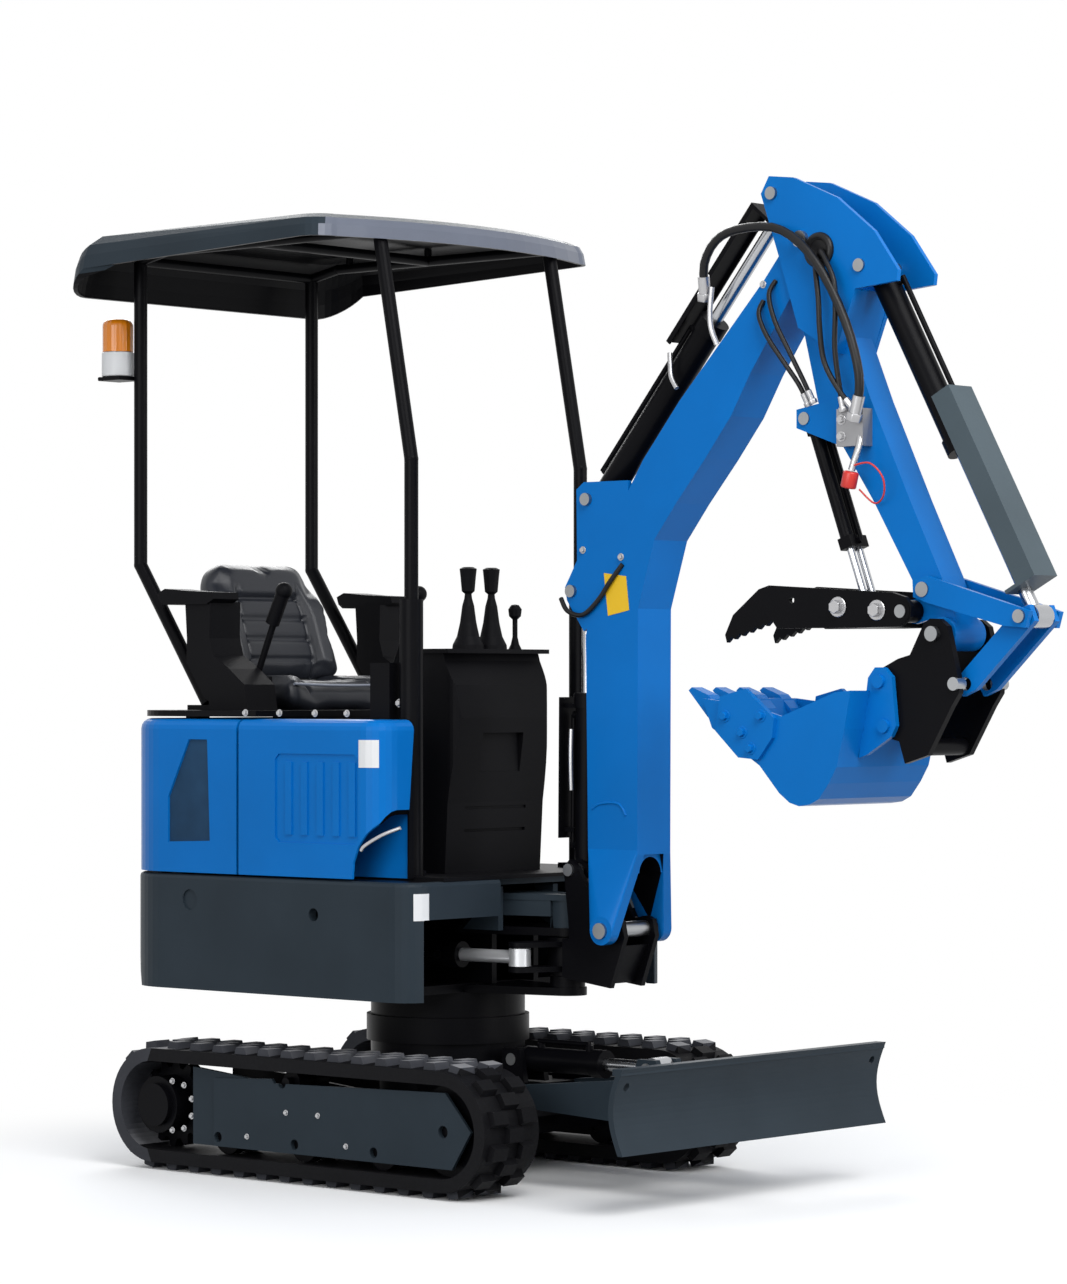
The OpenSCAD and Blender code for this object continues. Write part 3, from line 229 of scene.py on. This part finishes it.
hose_rubber = finish("hose_rubber", (0.008, 0.008, 0.009), 0.36, vary=0.2, grain=260, bump=0.2, spec=0.25)
zinc_plate = finish("zinc_plate", (0.48, 0.48, 0.49), 0.34, metal=1.0, vary=0.08, grain=200, bump=0.05)

thick_line = curve_through([
    (822, -62, 1990), (838, -84, 2052), (882, -99, 2098), (945, -104, 2118), (1043, -104, 2116),
    (1116, -104, 2078), (1180, -102, 2006), (1236, -99, 1902), (1264, -95, 1812), (1266, -90, 1756),
    (1254, -87, 1712)], 3)
thick_hose = free_hose("pressure_hose", thick_line, 0.02, "boom", "arm",
                       bend=((945, -104, 2118), (1236, -99, 1902)))
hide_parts("boom_hose")
for name, knots in (
        ("valve_hose_front", [(1152, -76, 2062), (1172, -92, 2046), (1206, -100, 1990), (1208, -98, 1920),
                              (1202, -92, 1850), (1206, -84, 1780), (1212, -76, 1722)]),
        ("valve_hose_rear", [(1140, -76, 2052), (1152, -94, 2020), (1166, -102, 1955), (1168, -100, 1890),
                             (1174, -92, 1820), (1206, -84, 1760), (1236, -76, 1722)])):
    free_hose(name, curve_through(knots, 4), 0.012, "arm", "arm", ends=(False, True))
for name, knots in (
        ("thumb_hose_front", [(1018, -60, 2006), (1010, -74, 1974), (1030, -78, 1915), (1062, -70, 1850),
                              (1088, -56, 1790), (1104, -44, 1746)]),
        ("thumb_hose_rear", [(984, -60, 1964), (982, -74, 1934), (1006, -76, 1885), (1044, -68, 1830),
                             (1074, -52, 1780), (1088, -40, 1742)])):
    free_hose(name, curve_through(knots, 4), 0.011, "boom", "arm",
              bend=(knots[1], knots[-2]), ends=(False, True))


# Studio: soft lamps round the machine, aimed at its middle, and a white surround that camera, gloss and
# glass see. What the surround adds to the diffuse light is dimmer and a little bluer.
machine_middle = Vector((0, 0, 0.9))


def studio_lamp(name, spot, size, power):
    lamp = bpy.data.lights.new(name, "AREA")
    lamp.shape = "RECTANGLE"
    lamp.size, lamp.size_y = size
    lamp.energy = power
    holder = bpy.data.objects.new(name, lamp)
    holder.location = spot
    holder.rotation_euler = (machine_middle - Vector(spot)).to_track_quat("-Z", "Y").to_euler()
    bpy.context.collection.objects.link(holder)


studio_lamp("key_lamp", (4.5, -2.0, 5.5), (4.0, 4.0), 330)
studio_lamp("side_lamp", (1.5, -7.5, 2.6), (5.0, 3.0), 210)
studio_lamp("front_lamp", (7.5, 2.5, 2.0), (3.0, 4.0), 170)
studio_lamp("back_lamp", (-4.5, 3.5, 4.5), (4.0, 3.0), 190)

world = bpy.data.worlds.new("studio_air")
bpy.context.scene.world = world
world.use_nodes = True
air = world.node_tree
air.nodes.clear()
air_out = air.nodes.new("ShaderNodeOutputWorld")
air_mix = air.nodes.new("ShaderNodeMixShader")
air_light = air.nodes.new("ShaderNodeBackground")
air_light.inputs["Color"].default_value = (0.80, 0.83, 0.87, 1)
air_light.inputs["Strength"].default_value = 0.55
air_seen = air.nodes.new("ShaderNodeBackground")
air_seen.inputs["Color"].default_value = (1, 1, 1, 1)
air_path = air.nodes.new("ShaderNodeLightPath")
air_seen_part = air.nodes.new("ShaderNodeMath")
air_seen_part.operation = "MAXIMUM"
air_clear_part = air.nodes.new("ShaderNodeMath")
air_clear_part.operation = "MAXIMUM"
air.links.new(air_path.outputs["Is Camera Ray"], air_seen_part.inputs[0])
air.links.new(air_path.outputs["Is Glossy Ray"], air_seen_part.inputs[1])
air.links.new(air_seen_part.outputs[0], air_clear_part.inputs[0])
air.links.new(air_path.outputs["Is Transmission Ray"], air_clear_part.inputs[1])
air.links.new(air_clear_part.outputs[0], air_mix.inputs[0])
air.links.new(air_light.outputs[0], air_mix.inputs[1])
air.links.new(air_seen.outputs[0], air_mix.inputs[2])
air.links.new(air_mix.outputs[0], air_out.inputs["Surface"])

# Floor: pale paper that takes the machine's shadow close by and turns into the white surround
# a little further out. It throws back less light than it shows.
clear_selection()
bpy.ops.mesh.primitive_plane_add(size=40, location=(0, 0, -0.001))
floor = bpy.context.object
floor.name = "floor"
floor_paper = bpy.data.materials.new("floor_paper")
floor_paper.use_nodes = True
paper_nodes, paper_links = floor_paper.node_tree.nodes, floor_paper.node_tree.links
paper = paper_nodes["Principled BSDF"]
paper.inputs["Roughness"].default_value = 0.9
paper.inputs["Specular IOR Level"].default_value = 0.1
paper_white = paper_nodes.new("ShaderNodeEmission")
paper_place = paper_nodes.new("ShaderNodeTexCoord")
paper_far = paper_nodes.new("ShaderNodeVectorMath")
paper_far.operation = "LENGTH"
paper_fade = paper_nodes.new("ShaderNodeMapRange")
paper_fade.interpolation_type = "SMOOTHSTEP"
paper_fade.inputs["From Min"].default_value = 1.1
paper_fade.inputs["From Max"].default_value = 2.2
paper_path = paper_nodes.new("ShaderNodeLightPath")
paper_seen = paper_nodes.new("ShaderNodeMath")
paper_seen.operation = "MAXIMUM"
paper_tone = paper_nodes.new("ShaderNodeMix")
paper_tone.data_type = "RGBA"
paper_tone.inputs["A"].default_value = (0.32, 0.32, 0.32, 1)
paper_tone.inputs["B"].default_value = (0.95, 0.95, 0.95, 1)
paper_part = paper_nodes.new("ShaderNodeMath")
paper_part.operation = "MULTIPLY"
paper_mix = paper_nodes.new("ShaderNodeMixShader")
paper_links.new(paper_place.outputs["Object"], paper_far.inputs[0])
paper_links.new(paper_far.outputs["Value"], paper_fade.inputs["Value"])
paper_links.new(paper_path.outputs["Is Camera Ray"], paper_seen.inputs[0])
paper_links.new(paper_path.outputs["Is Glossy Ray"], paper_seen.inputs[1])
paper_links.new(paper_seen.outputs[0], paper_tone.inputs["Factor"])
paper_links.new(paper_tone.outputs["Result"], paper.inputs["Base Color"])
paper_links.new(paper_fade.outputs["Result"], paper_part.inputs[0])
paper_links.new(paper_seen.outputs[0], paper_part.inputs[1])
paper_links.new(paper_part.outputs[0], paper_mix.inputs[0])
paper_links.new(paper.outputs[0], paper_mix.inputs[1])
paper_links.new(paper_white.outputs[0], paper_mix.inputs[2])
paper_links.new(paper_mix.outputs[0], paper_nodes["Material Output"].inputs["Surface"])
floor.data.materials.append(floor_paper)

# Rubber tracks: one moulded belt a side with staggered lugs. The belt is black,
# the lugs are painted a lighter grey as a painted highlight, and paler still where they look up, with dust
# and painted light.
wheel_ahead, wheel_up = 457, 149
lug_root = 134.5


def repaint(name, finish_of, chosen):
    """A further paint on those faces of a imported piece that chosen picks, by the face's middle
    in millimetres and its normal."""
    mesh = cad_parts[name].data
    mesh.materials.append(finish_of)
    for face in mesh.polygons:
        x, y, z = face.center * 1000
        if chosen(x + slew_back, y, z, face.normal):
            face.material_index = len(mesh.materials) - 1


def paint(finish_of, *names):
    for name in names:
        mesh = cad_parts[name].data
        mesh.materials.clear()
        mesh.materials.append(finish_of)


def track_lug(x, y, z, n):
    """The belt runs round two wheels, so all that lies further out than the lugs' roots is a lug."""
    past_wheel = max(0, abs(x) - wheel_ahead)
    return math.hypot(past_wheel, z - wheel_up) > lug_root


track_rubber = finish("track_rubber", (0.004, 0.004, 0.005), 0.6, vary=0.25, grain=110, bump=0.3, spec=0.1)
# Lugs: a painted highlight in grey, and on faces that look up dust and painted light.
lug_highlight_and_dust = finish("lug_highlight_and_dust", (0.040, 0.042, 0.050), 0.7, vary=0.3, grain=110, bump=0.3, spec=0.2,
                  dust_and_light=(0.24, 0.24, 0.25, 0.9))
for name in ("track_right", "track_left"):
    paint(track_rubber, name)
    repaint(name, lug_highlight_and_dust, track_lug)

# Track frames: black steel beams with a slate cover plate on the outside, a sprocket at the back
# and rollers between. Zinc bolts hold the cover and the sprocket's hub.
def bolts(name, spots, facing, across, metal, body):
    """Hexagon bolts on washers, turned the same way: modelled once and set at each spot, as one piece."""
    clear_selection()
    bpy.ops.mesh.primitive_cylinder_add(vertices=6, radius=across * 0.58, depth=across * 0.55,
                                        location=(0, 0, across * 0.36))
    head = bpy.context.object
    bpy.ops.mesh.primitive_cylinder_add(vertices=20, radius=across * 0.85, depth=across * 0.14,
                                        location=(0, 0, across * 0.05))
    washer = bpy.context.object
    for part in (head, washer):
        round_edges(part, across * 0.05, 1)
    head.select_set(True)
    washer.select_set(True)
    bpy.context.view_layer.objects.active = head
    bpy.ops.object.transform_apply(location=True)
    bpy.ops.object.join()
    copies = [head] + [bpy.data.objects.new(name, head.data.copy()) for spot in spots[1:]]
    for copy, spot in zip(copies, spots):
        if copy is not head:
            bpy.context.collection.objects.link(copy)
        settle(copy, place(*spot), facing)
        copy.select_set(True)
    bpy.context.view_layer.objects.active = head
    bpy.ops.object.join()
    head.name = name
    head.data.materials.append(metal)
    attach(head, body)


slate_paint = finish("slate_paint", (0.024, 0.034, 0.044), 0.42, vary=0.10, grain=180, bump=0.06, spec=0.08)
black_paint = finish("black_paint", (0.003, 0.003, 0.004), 0.36, vary=0.15, grain=180, bump=0.05, spec=0.06)
paint(black_paint, "track_frame_right", "track_frame_left", "rollers_right", "rollers_left",
      "sprocket_right", "sprocket_left", "undercarriage_frame", "slew_ring")
cover_inside, hub_face, cover_face = 432, 441, 453
hub_ring = 58
for side, hand in ((-1, "right"), (1, "left")):
    repaint("track_frame_" + hand, slate_paint, lambda x, y, z, n: abs(y) > cover_inside)
    ring = [(-wheel_ahead + hub_ring * math.cos(math.radians(a)), side * hub_face,
             wheel_up + hub_ring * math.sin(math.radians(a))) for a in range(20, 380, 40)]
    bolts("hub_bolts_" + hand, ring, (0, side, 0), 0.009, zinc_plate, "undercarriage")
    spots = [(ahead, side * cover_face, up) for ahead, up in ((-84, 159), (17, 159), (-209, 96), (105, 96))]
    bolts("cover_bolts_" + hand, spots, (0, side, 0), 0.008, zinc_plate, "undercarriage")

# Dozer blade: slate plate, arms and foot, with bright pins in its hinges and its cylinder's eye.
# The blade's cylinder is black, its rod ground bright.
bright_steel = finish("bright_steel", (0.46, 0.47, 0.49), 0.24, metal=1.0, vary=0.05, grain=240, bump=0.02)
worn_steel = finish("worn_steel", (0.34, 0.35, 0.36), 0.34, metal=1.0, vary=0.12, grain=120, bump=0.06)
paint(slate_paint, "blade")
paint(black_paint, "blade_barrel")
paint(bright_steel, "blade_rod")


pin_reach = 18.4


def bare_pins(name, *centres):
    """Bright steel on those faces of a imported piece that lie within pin_reach of a pin across the machine.
    The pins' centres are given ahead and up, in millimetres."""
    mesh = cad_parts[name].data
    mesh.materials.append(worn_steel)
    for face in mesh.polygons:
        corners = [mesh.vertices[i].co * 1000 for i in face.vertices]
        for ahead, up in centres:
            if all(math.hypot(c.x + slew_back - ahead, c.z - up) < pin_reach for c in corners):
                face.material_index = len(mesh.materials) - 1


bare_pins("blade", (330, 200), (640, 272))
bare_pins("undercarriage_frame", (330, 200), (236, 272))

# House: a slate cast tail and skirt, blue side cover and rear hood with darker grilles, black deck,
# boxes and seat stand. The upper part of the nose that carries the swing bracket is slate,
# and the sunk corner of the side cover is painted black, painted shade in its recess.
blue_paint = finish("blue_paint", (0.002, 0.150, 0.50), 0.30, vary=0.05, grain=160, bump=0.02, spec=0.1)
dark_plastic = finish("dark_plastic", (0.004, 0.004, 0.005), 0.5, vary=0.12, grain=380, bump=0.25, spec=0.06)
paint(slate_paint, "counterweight")
paint(blue_paint, "side_cover", "rear_hood")
paint(black_paint, "house_frame", "seat_base", "engine_block")
grille_mesh = finish("grille_mesh", (0.018, 0.055, 0.115), 0.6, vary=0.35, grain=600, bump=0.5, spec=0.1)
paint(grille_mesh, "hood_grilles")
# Painted shade: the sunk corner of the side cover is painted black in its recess.
repaint("side_cover", black_paint, lambda x, y, z, n: x > 110 and z < 860 and -425 < y < -300)
paint(dark_plastic, "floor_plate", "console", "control_box_right", "control_box_left", "travel_levers")
repaint("house_frame", slate_paint, lambda x, y, z, n: x > 200 and z > 596)


# Plates and trim: each plate is a thin blank sheet laid on the panel that carries it, white or yellow.
# A bright trim edges the sunk corner of the side cover, and bolts hold its top.
plate_lift = 0.0006
plate_wall = 0.0005


def plate(name, corners, onto, sheet_paint, body):
    clear_selection()
    bpy.ops.mesh.primitive_grid_add(x_subdivisions=10, y_subdivisions=10, size=2, location=(0, 0, 0))
    sheet = bpy.context.object
    sheet.name = name
    low_back, low_front, high_back, high_front = [place(*corner) for corner in corners]
    for point in sheet.data.vertices:
        u, v = (point.co.x + 1) / 2, (point.co.y + 1) / 2
        point.co = (low_back * (1 - u) + low_front * u) * (1 - v) + (high_back * (1 - u) + high_front * u) * v
    lay = sheet.modifiers.new("lay", "SHRINKWRAP")
    lay.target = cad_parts[onto]
    lay.wrap_method = "NEAREST_SURFACEPOINT"
    lay.wrap_mode = "ABOVE_SURFACE"
    lay.offset = plate_lift
    bpy.ops.object.modifier_apply(modifier="lay")
    wall = sheet.modifiers.new("wall", "SOLIDIFY")
    wall.thickness = plate_wall
    wall.offset = 0
    bpy.ops.object.modifier_apply(modifier="wall")
    sheet.data.materials.append(sheet_paint)
    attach(sheet, body)


white_plate = finish("white_plate", (0.72, 0.73, 0.74), 0.4, vary=0.03, grain=200, bump=0.02, spec=0.3)
yellow_plate = finish("yellow_plate", (0.80, 0.50, 0.02), 0.4, vary=0.03, grain=200, bump=0.02, spec=0.3)
plate("side_plate", [(140, -452, 945), (204, -452, 945), (140, -452, 1007), (204, -452, 1007)],
      "side_cover", white_plate, "house")
plate("boom_plate", [(540, -59, 1285), (602, -59, 1297), (528, -59, 1381), (593, -59, 1373)],
      "boom", yellow_plate, "boom")
trim_line = curve_through([(146, -446, 760), (160, -447, 772), (206, -440, 796), (246, -425, 812)], 6)
trim = hose("cover_trim", trim_line, 0.009, zinc_plate)
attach(trim, "house")
plate("skirt_plate", [(286, -425, 606), (300, -385, 606), (286, -425, 666), (300, -385, 666)],
      "counterweight", white_plate, "house")
bolts("cover_bolts", [(-233, -434, 1066), (-123, -434, 1066), (-10, -434, 1066), (90, -434, 1066)],
      (0, -1, 0), 0.010, zinc_plate, "house")

# Operator's seat: foam cushions in grey black vinyl on the seat stand. Each is filled by a pressure
# simulation, then gets its sewn channels and its side seams. The back leans and has a smooth head panel,
# and a paler welt edges the front of the seat.
seat_vinyl = finish("seat_vinyl", (0.016, 0.018, 0.024), 0.38, vary=0.12, grain=420, bump=0.3, spec=0.35)


filling_steps = 20
filling_limit = 0.012


def filled_pad(name, size, middle, lean, rounding, outline, seams):
    """A closed vinyl cushion, made lying on its back: across, along and thick, then sewn, leant and set.
    outline shapes it before it is filled, and no point of it moves further than filling_limit."""
    across, along, thick = size
    clear_selection()
    bpy.ops.mesh.primitive_cube_add(size=1, location=(0, 0, 0))
    pad = bpy.context.object
    pad.name = name
    bpy.ops.object.mode_set(mode="EDIT")
    bpy.ops.mesh.select_all(action="SELECT")
    bpy.ops.transform.resize(value=(along, across, thick))
    bpy.ops.mesh.bevel(offset=rounding, segments=5, affect="EDGES")
    bpy.ops.object.mode_set(mode="OBJECT")
    pad.data.remesh_voxel_size = 0.006
    bpy.ops.object.voxel_remesh()
    for point in pad.data.vertices:
        outline(point.co)
    before = [point.co.copy() for point in pad.data.vertices]
    filling = pad.modifiers.new("filling", "CLOTH")
    filling.settings.use_pressure = True
    filling.settings.uniform_pressure_force = 4
    filling.settings.effector_weights.gravity = 0
    for step in range(1, filling_steps + 1):
        bpy.context.scene.frame_set(step)
    bpy.ops.object.modifier_apply(modifier="filling")
    for point, start in zip(pad.data.vertices, before):
        moved = point.co - start
        if moved.length > filling_limit:
            point.co = start + moved.normalized() * filling_limit
        point.co.z = max(point.co.z, -thick / 2)
    soft = pad.modifiers.new("soft", "SUBSURF")
    soft.levels = soft.render_levels = 1
    bpy.ops.object.modifier_apply(modifier="soft")
    for point in pad.data.vertices:
        if point.co.z > 0:
            point.co.z -= seams(point.co.x, point.co.y) * min(1, point.co.z / (thick * 0.3))
    pad.data.materials.append(seat_vinyl)
    bpy.ops.object.shade_smooth()
    pad.data.transform(Matrix.Translation(place(*middle)) @ Matrix.Rotation(math.radians(lean), 4, "Y"))
    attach(pad, "house")
    return pad


def groove(away, width):
    """How deep a sewn line is at a place away from it, as a share of its depth."""
    return math.exp(-(away / width) ** 2)


def cushion_outline(at):
    """The seat's sides rise a little."""
    at.z += 0.014 * max(0, abs(at.y) - 0.11) / 0.07


def cushion_seams(x, y):
    """A seam along each side, and between them four channels in a shallow dish."""
    inner = 0.118
    depth = 0.010 * groove(abs(y) - inner, 0.007)
    if abs(y) < inner:
        depth += 0.007 * max(groove(x - seam, 0.007) for seam in (-0.08, -0.03, 0.02, 0.07))
        depth += 0.006 * math.cos(y / inner * math.pi / 2)
    return depth


def back_outline(at):
    """The head end is narrow and round, the lower sides come forward as wings."""
    up = max(0, -at.x / 0.158)
    at.y *= 1 - 0.30 * up ** 4
    at.z += 0.026 * (max(0, abs(at.y) - 0.10) / 0.08) * min(1, max(0, (at.x + 0.10) / 0.08))


def back_seams(x, y):
    """A seam along each side below the head panel, a line under that panel, and three channels."""
    inner = 0.112 - 0.02 * max(0, -x / 0.15)
    head_line = 0.055
    depth = 0.011 * groove(abs(y) - inner, 0.008) * min(1, max(0, (x + 0.09) / 0.03))
    depth += 0.011 * groove(x + head_line, 0.008) * (1 if abs(y) < inner else 0)
    if abs(y) < inner and x > -head_line:
        depth += 0.007 * max(groove(x - seam, 0.008) for seam in (0.0, 0.052, 0.104)) + 0.008
    return depth


cushion = filled_pad("seat_cushion", (0.384, 0.272, 0.062), (-458, 0, 1102), 0, 0.024,
                     cushion_outline, cushion_seams)
backrest = filled_pad("seat_back", (0.368, 0.316, 0.060), (-608, 0, 1281), 70.3, 0.026,
                      back_outline, back_seams)
welt_line = curve_through([(-326, y, 1129 + 0.00012 * y * y) for y in range(-180, 181, 30)], 3)
welt_vinyl = finish("welt_vinyl", (0.20, 0.22, 0.27), 0.35, vary=0.1, grain=300, bump=0.1)
welt = hose("seat_welt", welt_line, 0.007, welt_vinyl)
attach(welt, "house")
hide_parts("seat_cushions")

# Canopy: a black tube frame on the deck and a slate roof moulding, black beneath,
# with a lighter band along its front, a painted reflection.
roof_band_reflection_paint = finish("roof_band_reflection_paint", (0.12, 0.135, 0.175), 0.3, vary=0.06, grain=180, bump=0.03,
                         spec=0.3)
paint(slate_paint, "canopy_roof")
paint(black_paint, "canopy_frame")
roof_low, roof_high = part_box("canopy_roof")
roof_middle = (roof_low[0] + roof_high[0]) * 500 + slew_back
roof_reach, roof_side = 700, 480


def inside_roof(x, y, z, n):
    """A face looks down, or towards the roof's middle."""
    return n.z < -0.3 or (n.z < 0.5 and n.x * (x - roof_middle) / roof_reach + n.y * y / roof_side < -0.2)


def front_band_reflection(x, y, z, n):
    return n.x > 0.75 and x > roof_middle and abs(n.z) < 0.5


repaint("canopy_roof", black_paint, inside_roof)
# Painted reflection: the front band's faces are painted a lighter grey-blue.
repaint("canopy_roof", roof_band_reflection_paint, front_band_reflection)

# Beacon: an amber lens on a white collar and a black foot, at the right rear post.
# Its upright flutes are shallower at the lens's two ends.
beacon_ahead, beacon_left = -790, -313
flutes = 18

amber_lens = finish("amber_lens", (0.80, 0.24, 0.008), 0.16, vary=0.10, grain=40, bump=0.05)
clear_selection()
bpy.ops.mesh.primitive_cylinder_add(vertices=72, radius=0.037, depth=0.078, location=(0, 0, 0))
lens = bpy.context.object
lens.name = "beacon_lens"
bpy.ops.object.mode_set(mode="EDIT")
bpy.ops.mesh.select_all(action="DESELECT")
bpy.ops.object.mode_set(mode="OBJECT")
for face in lens.data.polygons:
    face.select = face.normal.z > 0.9
bpy.ops.object.mode_set(mode="EDIT")
bpy.ops.mesh.bevel(offset=0.016, segments=6, affect="EDGES")
bpy.ops.object.mode_set(mode="OBJECT")
for point in lens.data.vertices:
    turn = math.atan2(point.co.y, point.co.x)
    flute = 1 - 0.05 * (0.5 + 0.5 * math.cos(turn * flutes)) * (1 if abs(point.co.z) < 0.034 else 0.6)
    point.co.x, point.co.y = point.co.x * flute, point.co.y * flute
lens.data.materials.append(amber_lens)
bpy.ops.object.shade_smooth_by_angle(angle=math.radians(35))
settle(lens, place(beacon_ahead, beacon_left, 1970))
bpy.ops.mesh.primitive_cylinder_add(vertices=64, radius=0.039, depth=0.058, location=(0, 0, 0))
collar = bpy.context.object
collar.name = "beacon_collar"
round_edges(collar, 0.003, 3)
collar.data.materials.append(white_plate)
bpy.ops.object.shade_smooth_by_angle(angle=math.radians(35))
settle(collar, place(beacon_ahead, beacon_left, 1901))
bpy.ops.mesh.primitive_cube_add(size=1, location=(0, 0, 0))
foot = bpy.context.object
foot.name = "beacon_foot"
bpy.ops.object.mode_set(mode="EDIT")
bpy.ops.mesh.select_all(action="SELECT")
bpy.ops.transform.resize(value=(0.078, 0.072, 0.010))
bpy.ops.mesh.bevel(offset=0.003, segments=2, affect="EDGES")
bpy.ops.object.mode_set(mode="OBJECT")
foot.data.materials.append(black_paint)
settle(foot, place(beacon_ahead + 5, beacon_left, 1866))
for piece in (lens, collar, foot):
    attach(piece, "house")
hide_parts("beacon")

# Post bolts: two hexagon bolts hold the socket
# of the right front post.
bolts("post_bolts", [(137, -312, 1089), (137, -312, 1002)], (0, -1, 0), 0.012, zinc_plate, "house")

# Swing bracket: a black casting on the nose's kingpost, with the bare pins of the boom's foot and of the
# boom's cylinder. Its own cylinder lies under the deck.
paint(black_paint, "swing_bracket", "swing_barrel")
# The swing cylinder's rod is painted paler than the other rods: painted light where it lies in shade under
# the deck.
rod_chrome_painted_light = finish("rod_chrome_painted_light", (0.74, 0.75, 0.77), 0.3, metal=0.6, vary=0.03, grain=240, bump=0.02)
paint(rod_chrome_painted_light, "swing_rod")
bare_pins("swing_bracket", (558, 581), (428, 712))

# Boom, arm and their cylinders: blue welded boxes, black barrels, ground bright rods and a black guard
# over the arm cylinder's rod. The pins across them end in bright steel, and the inside of the boom's fork is
# painted black as painted shade.
paint(blue_paint, "boom", "arm")


def fork_painted_shade(x, y, z, n):
    return z < 800 and abs(y) < 52 and n.y * y <= 0.001 and n.x < 0.5


# Painted shade: the faces inside the boom's fork are painted black.
repaint("boom", black_paint, fork_painted_shade)
paint(black_paint, "boom_barrel", "arm_barrel", "arm_rod_guard")
paint(bright_steel, "boom_rod", "arm_rod")
cast_iron = finish("cast_iron", (0.30, 0.30, 0.31), 0.45, metal=0.8, vary=0.12, grain=90, bump=0.25)
paint(cast_iron, "valve_block")


def fixed_pipe(name, knots, thick, metal, body):
    """A pipe, clipped hose or weld bead that lies on the steel all the way."""
    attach(hose(name, curve_through(knots, 6), thick, metal), body)


bolts("boom_bolts", [(466, -58.5, 1434), (578, -58.5, 1416), (982, -58.5, 2000)],
      (0, -1, 0), 0.010, zinc_plate, "boom")
fixed_pipe("boom_side_hose", [(402, -60, 1326), (427, -66, 1297), (472, -66, 1288), (517, -66, 1320),
                              (552, -66, 1361), (584, -60, 1400)], 0.011, hose_rubber, "boom")
fixed_pipe("boom_weld", [(493, -58, 851), (517, -58, 863), (569, -58, 864), (592, -58, 838)],
           0.006, blue_paint, "boom")
fixed_pipe("boom_pipe", [(419, -44, 1030), (419, -46, 985), (419, -46, 940), (419, -44, 892)],
           0.012, zinc_plate, "boom_barrel")
fixed_pipe("arm_cylinder_pipe", [(845, -66, 2002), (843, -70, 1952), (846, -70, 1912), (856, -62, 1876)],
           0.012, zinc_plate, "boom")
fixed_pipe("arm_cylinder_elbow", [(706, -42, 1866), (712, -48, 1842), (720, -54, 1812), (738, -57, 1786)],
           0.011, zinc_plate, "boom")
bare_pins("boom", (558, 581), (428, 712), (433, 1342), (478, 1548), (1098, 2089))

# Quick coupler's valve on the arm: a cast block with union nuts, a stem with a red dust cap
# and the red cord that keeps the cap. A rubber grommet seals the arm where its hoses come out.
bolts("valve_unions", [(1212, -62, 1719), (1238, -62, 1719)], (0, 0, 1), 0.017, zinc_plate, "arm")
bolts("valve_plugs", [(1206, -74, 1696), (1206, -74, 1660), (1248, -74, 1700)],
      (0, -1, 0), 0.014, zinc_plate, "arm")
fixed_pipe("valve_stem", [(1252, -66, 1660), (1254, -76, 1636), (1250, -84, 1610), (1244, -88, 1586)],
           0.016, zinc_plate, "arm")
cap_red = finish("cap_red", (0.62, 0.03, 0.02), 0.35, vary=0.08, grain=90, bump=0.05)
clear_selection()
bpy.ops.mesh.primitive_cylinder_add(vertices=32, radius=0.017, depth=0.036, location=(0, 0, 0))
cap = bpy.context.object
cap.name = "dust_cap"
round_edges(cap, 0.004, 3)
cap.data.materials.append(cap_red)
bpy.ops.object.shade_smooth_by_angle(angle=math.radians(40))
settle(cap, place(1239, -88, 1566), (-0.25, 0, -1))
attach(cap, "arm")
fixed_pipe("cap_cord", [(1250, -90, 1596), (1290, -86, 1600), (1318, -78, 1570), (1312, -66, 1532),
                        (1282, -58, 1516), (1252, -72, 1546)], 0.004, cap_red, "arm")
clear_selection()
bpy.ops.mesh.primitive_torus_add(major_radius=0.030, minor_radius=0.009, major_segments=48, minor_segments=12,
                                 location=(0, 0, 0))
grommet = bpy.context.object
grommet.name = "arm_grommet"
bpy.ops.object.mode_set(mode="EDIT")
bpy.ops.mesh.primitive_cylinder_add(vertices=48, radius=0.030, depth=0.006, location=(0, 0, 0))
bpy.ops.object.mode_set(mode="OBJECT")
grommet.data.materials.append(hose_rubber)
bpy.ops.object.shade_smooth_by_angle(angle=math.radians(40))
settle(grommet, place(1146, -74, 2062), (0, -1, 0))
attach(grommet, "arm")
bare_pins("arm", (1098, 2089), (1017, 2194), (1253, 2023), (1455, 1237), (1411, 1331), (1084, 1705))

# Bucket, its linkage, quick coupler and thumb: blue bucket and links, black coupler and thumb,
# bright rods, and a slate guard over the bucket cylinder's rod. Bolts hold the bucket's side cutters.
paint(blue_paint, "rocker", "bucket_link", "bucket")
paint(black_paint, "coupler", "thumb", "thumb_barrel", "bucket_barrel")
guard_paint = finish("guard_paint", (0.062, 0.085, 0.100), 0.4, vary=0.08, grain=180, bump=0.04, spec=0.15)
paint(guard_paint, "bucket_rod_guard")
paint(bright_steel, "bucket_rod", "thumb_rod")
bare_pins("rocker", (1411, 1331), (1658, 1272))
bare_pins("bucket_link", (1658, 1272), (1510, 1132))
bare_pins("coupler", (1455, 1237), (1510, 1132), (1324, 1137), (1337, 1043))
bare_pins("thumb", (1375, 1285))
for side, name in ((-1, "thumb_bosses"), (1, "thumb_bosses_left")):
    bolts(name, [(1210, side * 91, 1296), (1313, side * 91, 1288)], (0, side, 0), 0.026, zinc_plate, "thumb")
for side, name in ((-1, "cutter_bolts_right"), (1, "cutter_bolts_left")):
    bolts(name, [(970, side * 176, 1063), (1017, side * 176, 1028), (1068, side * 176, 1064),
                 (1040, side * 176, 994)], (0, side, 0), 0.016, blue_paint, "bucket")
